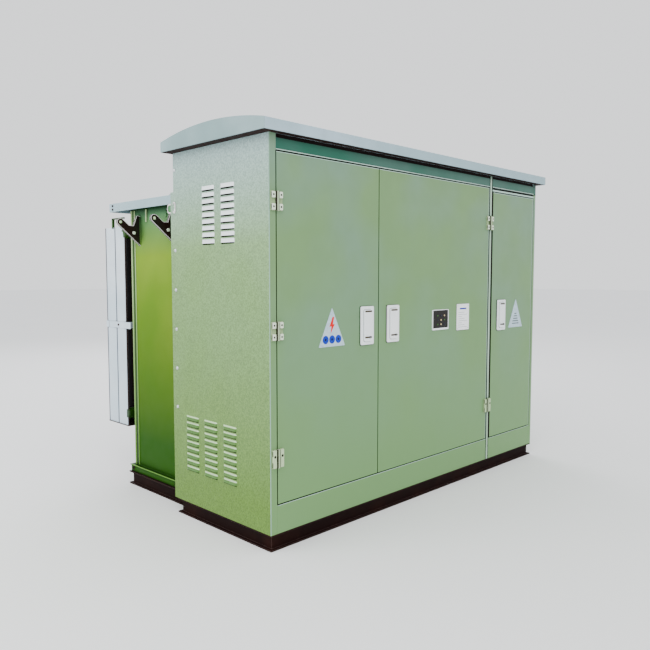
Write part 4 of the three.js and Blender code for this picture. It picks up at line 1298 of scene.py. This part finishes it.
def gauge(node):
    """A round dial with plain ticks and a needle."""
    x, y, z = span(node)
    centre = (middle(x), middle(z))
    hub = (centre[0], y[0], centre[1])
    radius = (x[1] - x[0]) / 2
    depth = y[1] - y[0]
    rim = [(radius, depth), (radius, 2), (radius - 4, 0), (radius - 7, 2), (radius - 7, 6)]
    piece = Piece()
    piece.use(0).turned("y", centre, rim, 48, y[0])
    piece.use(1).rod("y", centre, radius - 7.2, (y[0] + 4.5, y[0] + 6.5), 48)
    tick_z = (centre[1] + radius - 17, centre[1] + radius - 10)
    for k in range(11):
        turn = Matrix.Rotation(math.radians(27 * k - 135), 3, "Y")
        piece.use(2).block(around(centre[0], 0.9), (y[0] + 4, y[0] + 5), tick_z, hub, turn)
    needle_z = (centre[1] - 8, centre[1] + radius - 16)
    turn = Matrix.Rotation(math.radians(-35), 3, "Y")
    piece.use(3).block(around(centre[0], 1.2), (y[0] + 3.4, y[0] + 4.2), needle_z, hub, turn)
    piece.use(2).rod("y", centre, 4, (y[0] + 3, y[0] + 5), 20)
    tones = [STEEL, DIAL, BLACK, RED]
    piece.done(node + "_face", "frame", "plated_steel", tones, bevel=0.3, replaces=(node,))


def earth_bars():
    """Copper earth bars on insulators, low on the wall behind the compartments."""
    piece = Piece()
    for x in EARTH_BARS:
        piece.use(0).block(x, (PLATE_Y - 22, PLATE_Y - 16), EARTH_Z)
        for k in range(6):
            place = x[0] + 50 + k * (x[1] - x[0] - 100) / 5
            piece.use(1).hex_bolt("y", (place, middle(EARTH_Z)), PLATE_Y - 22, -1, 8, 7)
            piece.use(2).rod("y", (place, EARTH_Z[0] + 10), 9, (PLATE_Y - 17, PLATE_Y), 16)
    piece.done("earth_bars", "frame", "copper", [COPPER, STEEL, EPOXY], bevel=0.8)


def control_box_face():
    """The auxiliary control box's lid, lamps, switches and terminal strip."""
    x, y, z = span("control_box")
    front = y[0]
    piece = Piece()
    piece.use(0).prism("y", rounded(grown(x, -10), (z[0] + 130, z[1] - 10), 8), (front - 4, front - 0.3))
    for k in range(4):
        piece.use(1 + k % 3).dome_screw("y", (x[0] + 60 + k * 60, z[1] - 60), front - 4, -1, 12)
    switch = [(26, 4), (26, 10), (22, 12), (14, 12), (12, 26)]
    for k in range(3):
        piece.use(4).turned("y", (x[0] + 80 + k * 100, z[0] + 250), switch, 32, front, -1)
    for k in range(12):
        low = x[0] + 30 + k * 26
        piece.use(5).block((low, low + 22), (front - 22, front - 0.3), (z[0] + 30, z[0] + 90))
        piece.use(6).dome_screw("y", (low + 11, z[0] + 60), front - 22, -1, 5)
    tones = [INNER_SAGE, SIGN_RED, LAMP_GREEN, BEIGE, BLACK, DIAL, STEEL]
    piece.done("control_box_face", "frame", "cabinet_paint", tones, bevel=1.0)


for phase in "abc":
    bushing("high_voltage_bushing_" + phase, False)
for phase in "abcn":
    bushing("low_voltage_bushing_" + phase, True)
gauge("oil_level_gauge")
gauge("oil_thermometer")
keep("load_break_switch_handle", RED, 2.0, 3)
keep("drain_valve_lever", RED, 1.5, 3)
keep("tap_changer_knob", BLACK, 1.5, 3)
keep("pressure_relief_plunger", STEEL, 0.8)
earth_bars()
control_box_face()
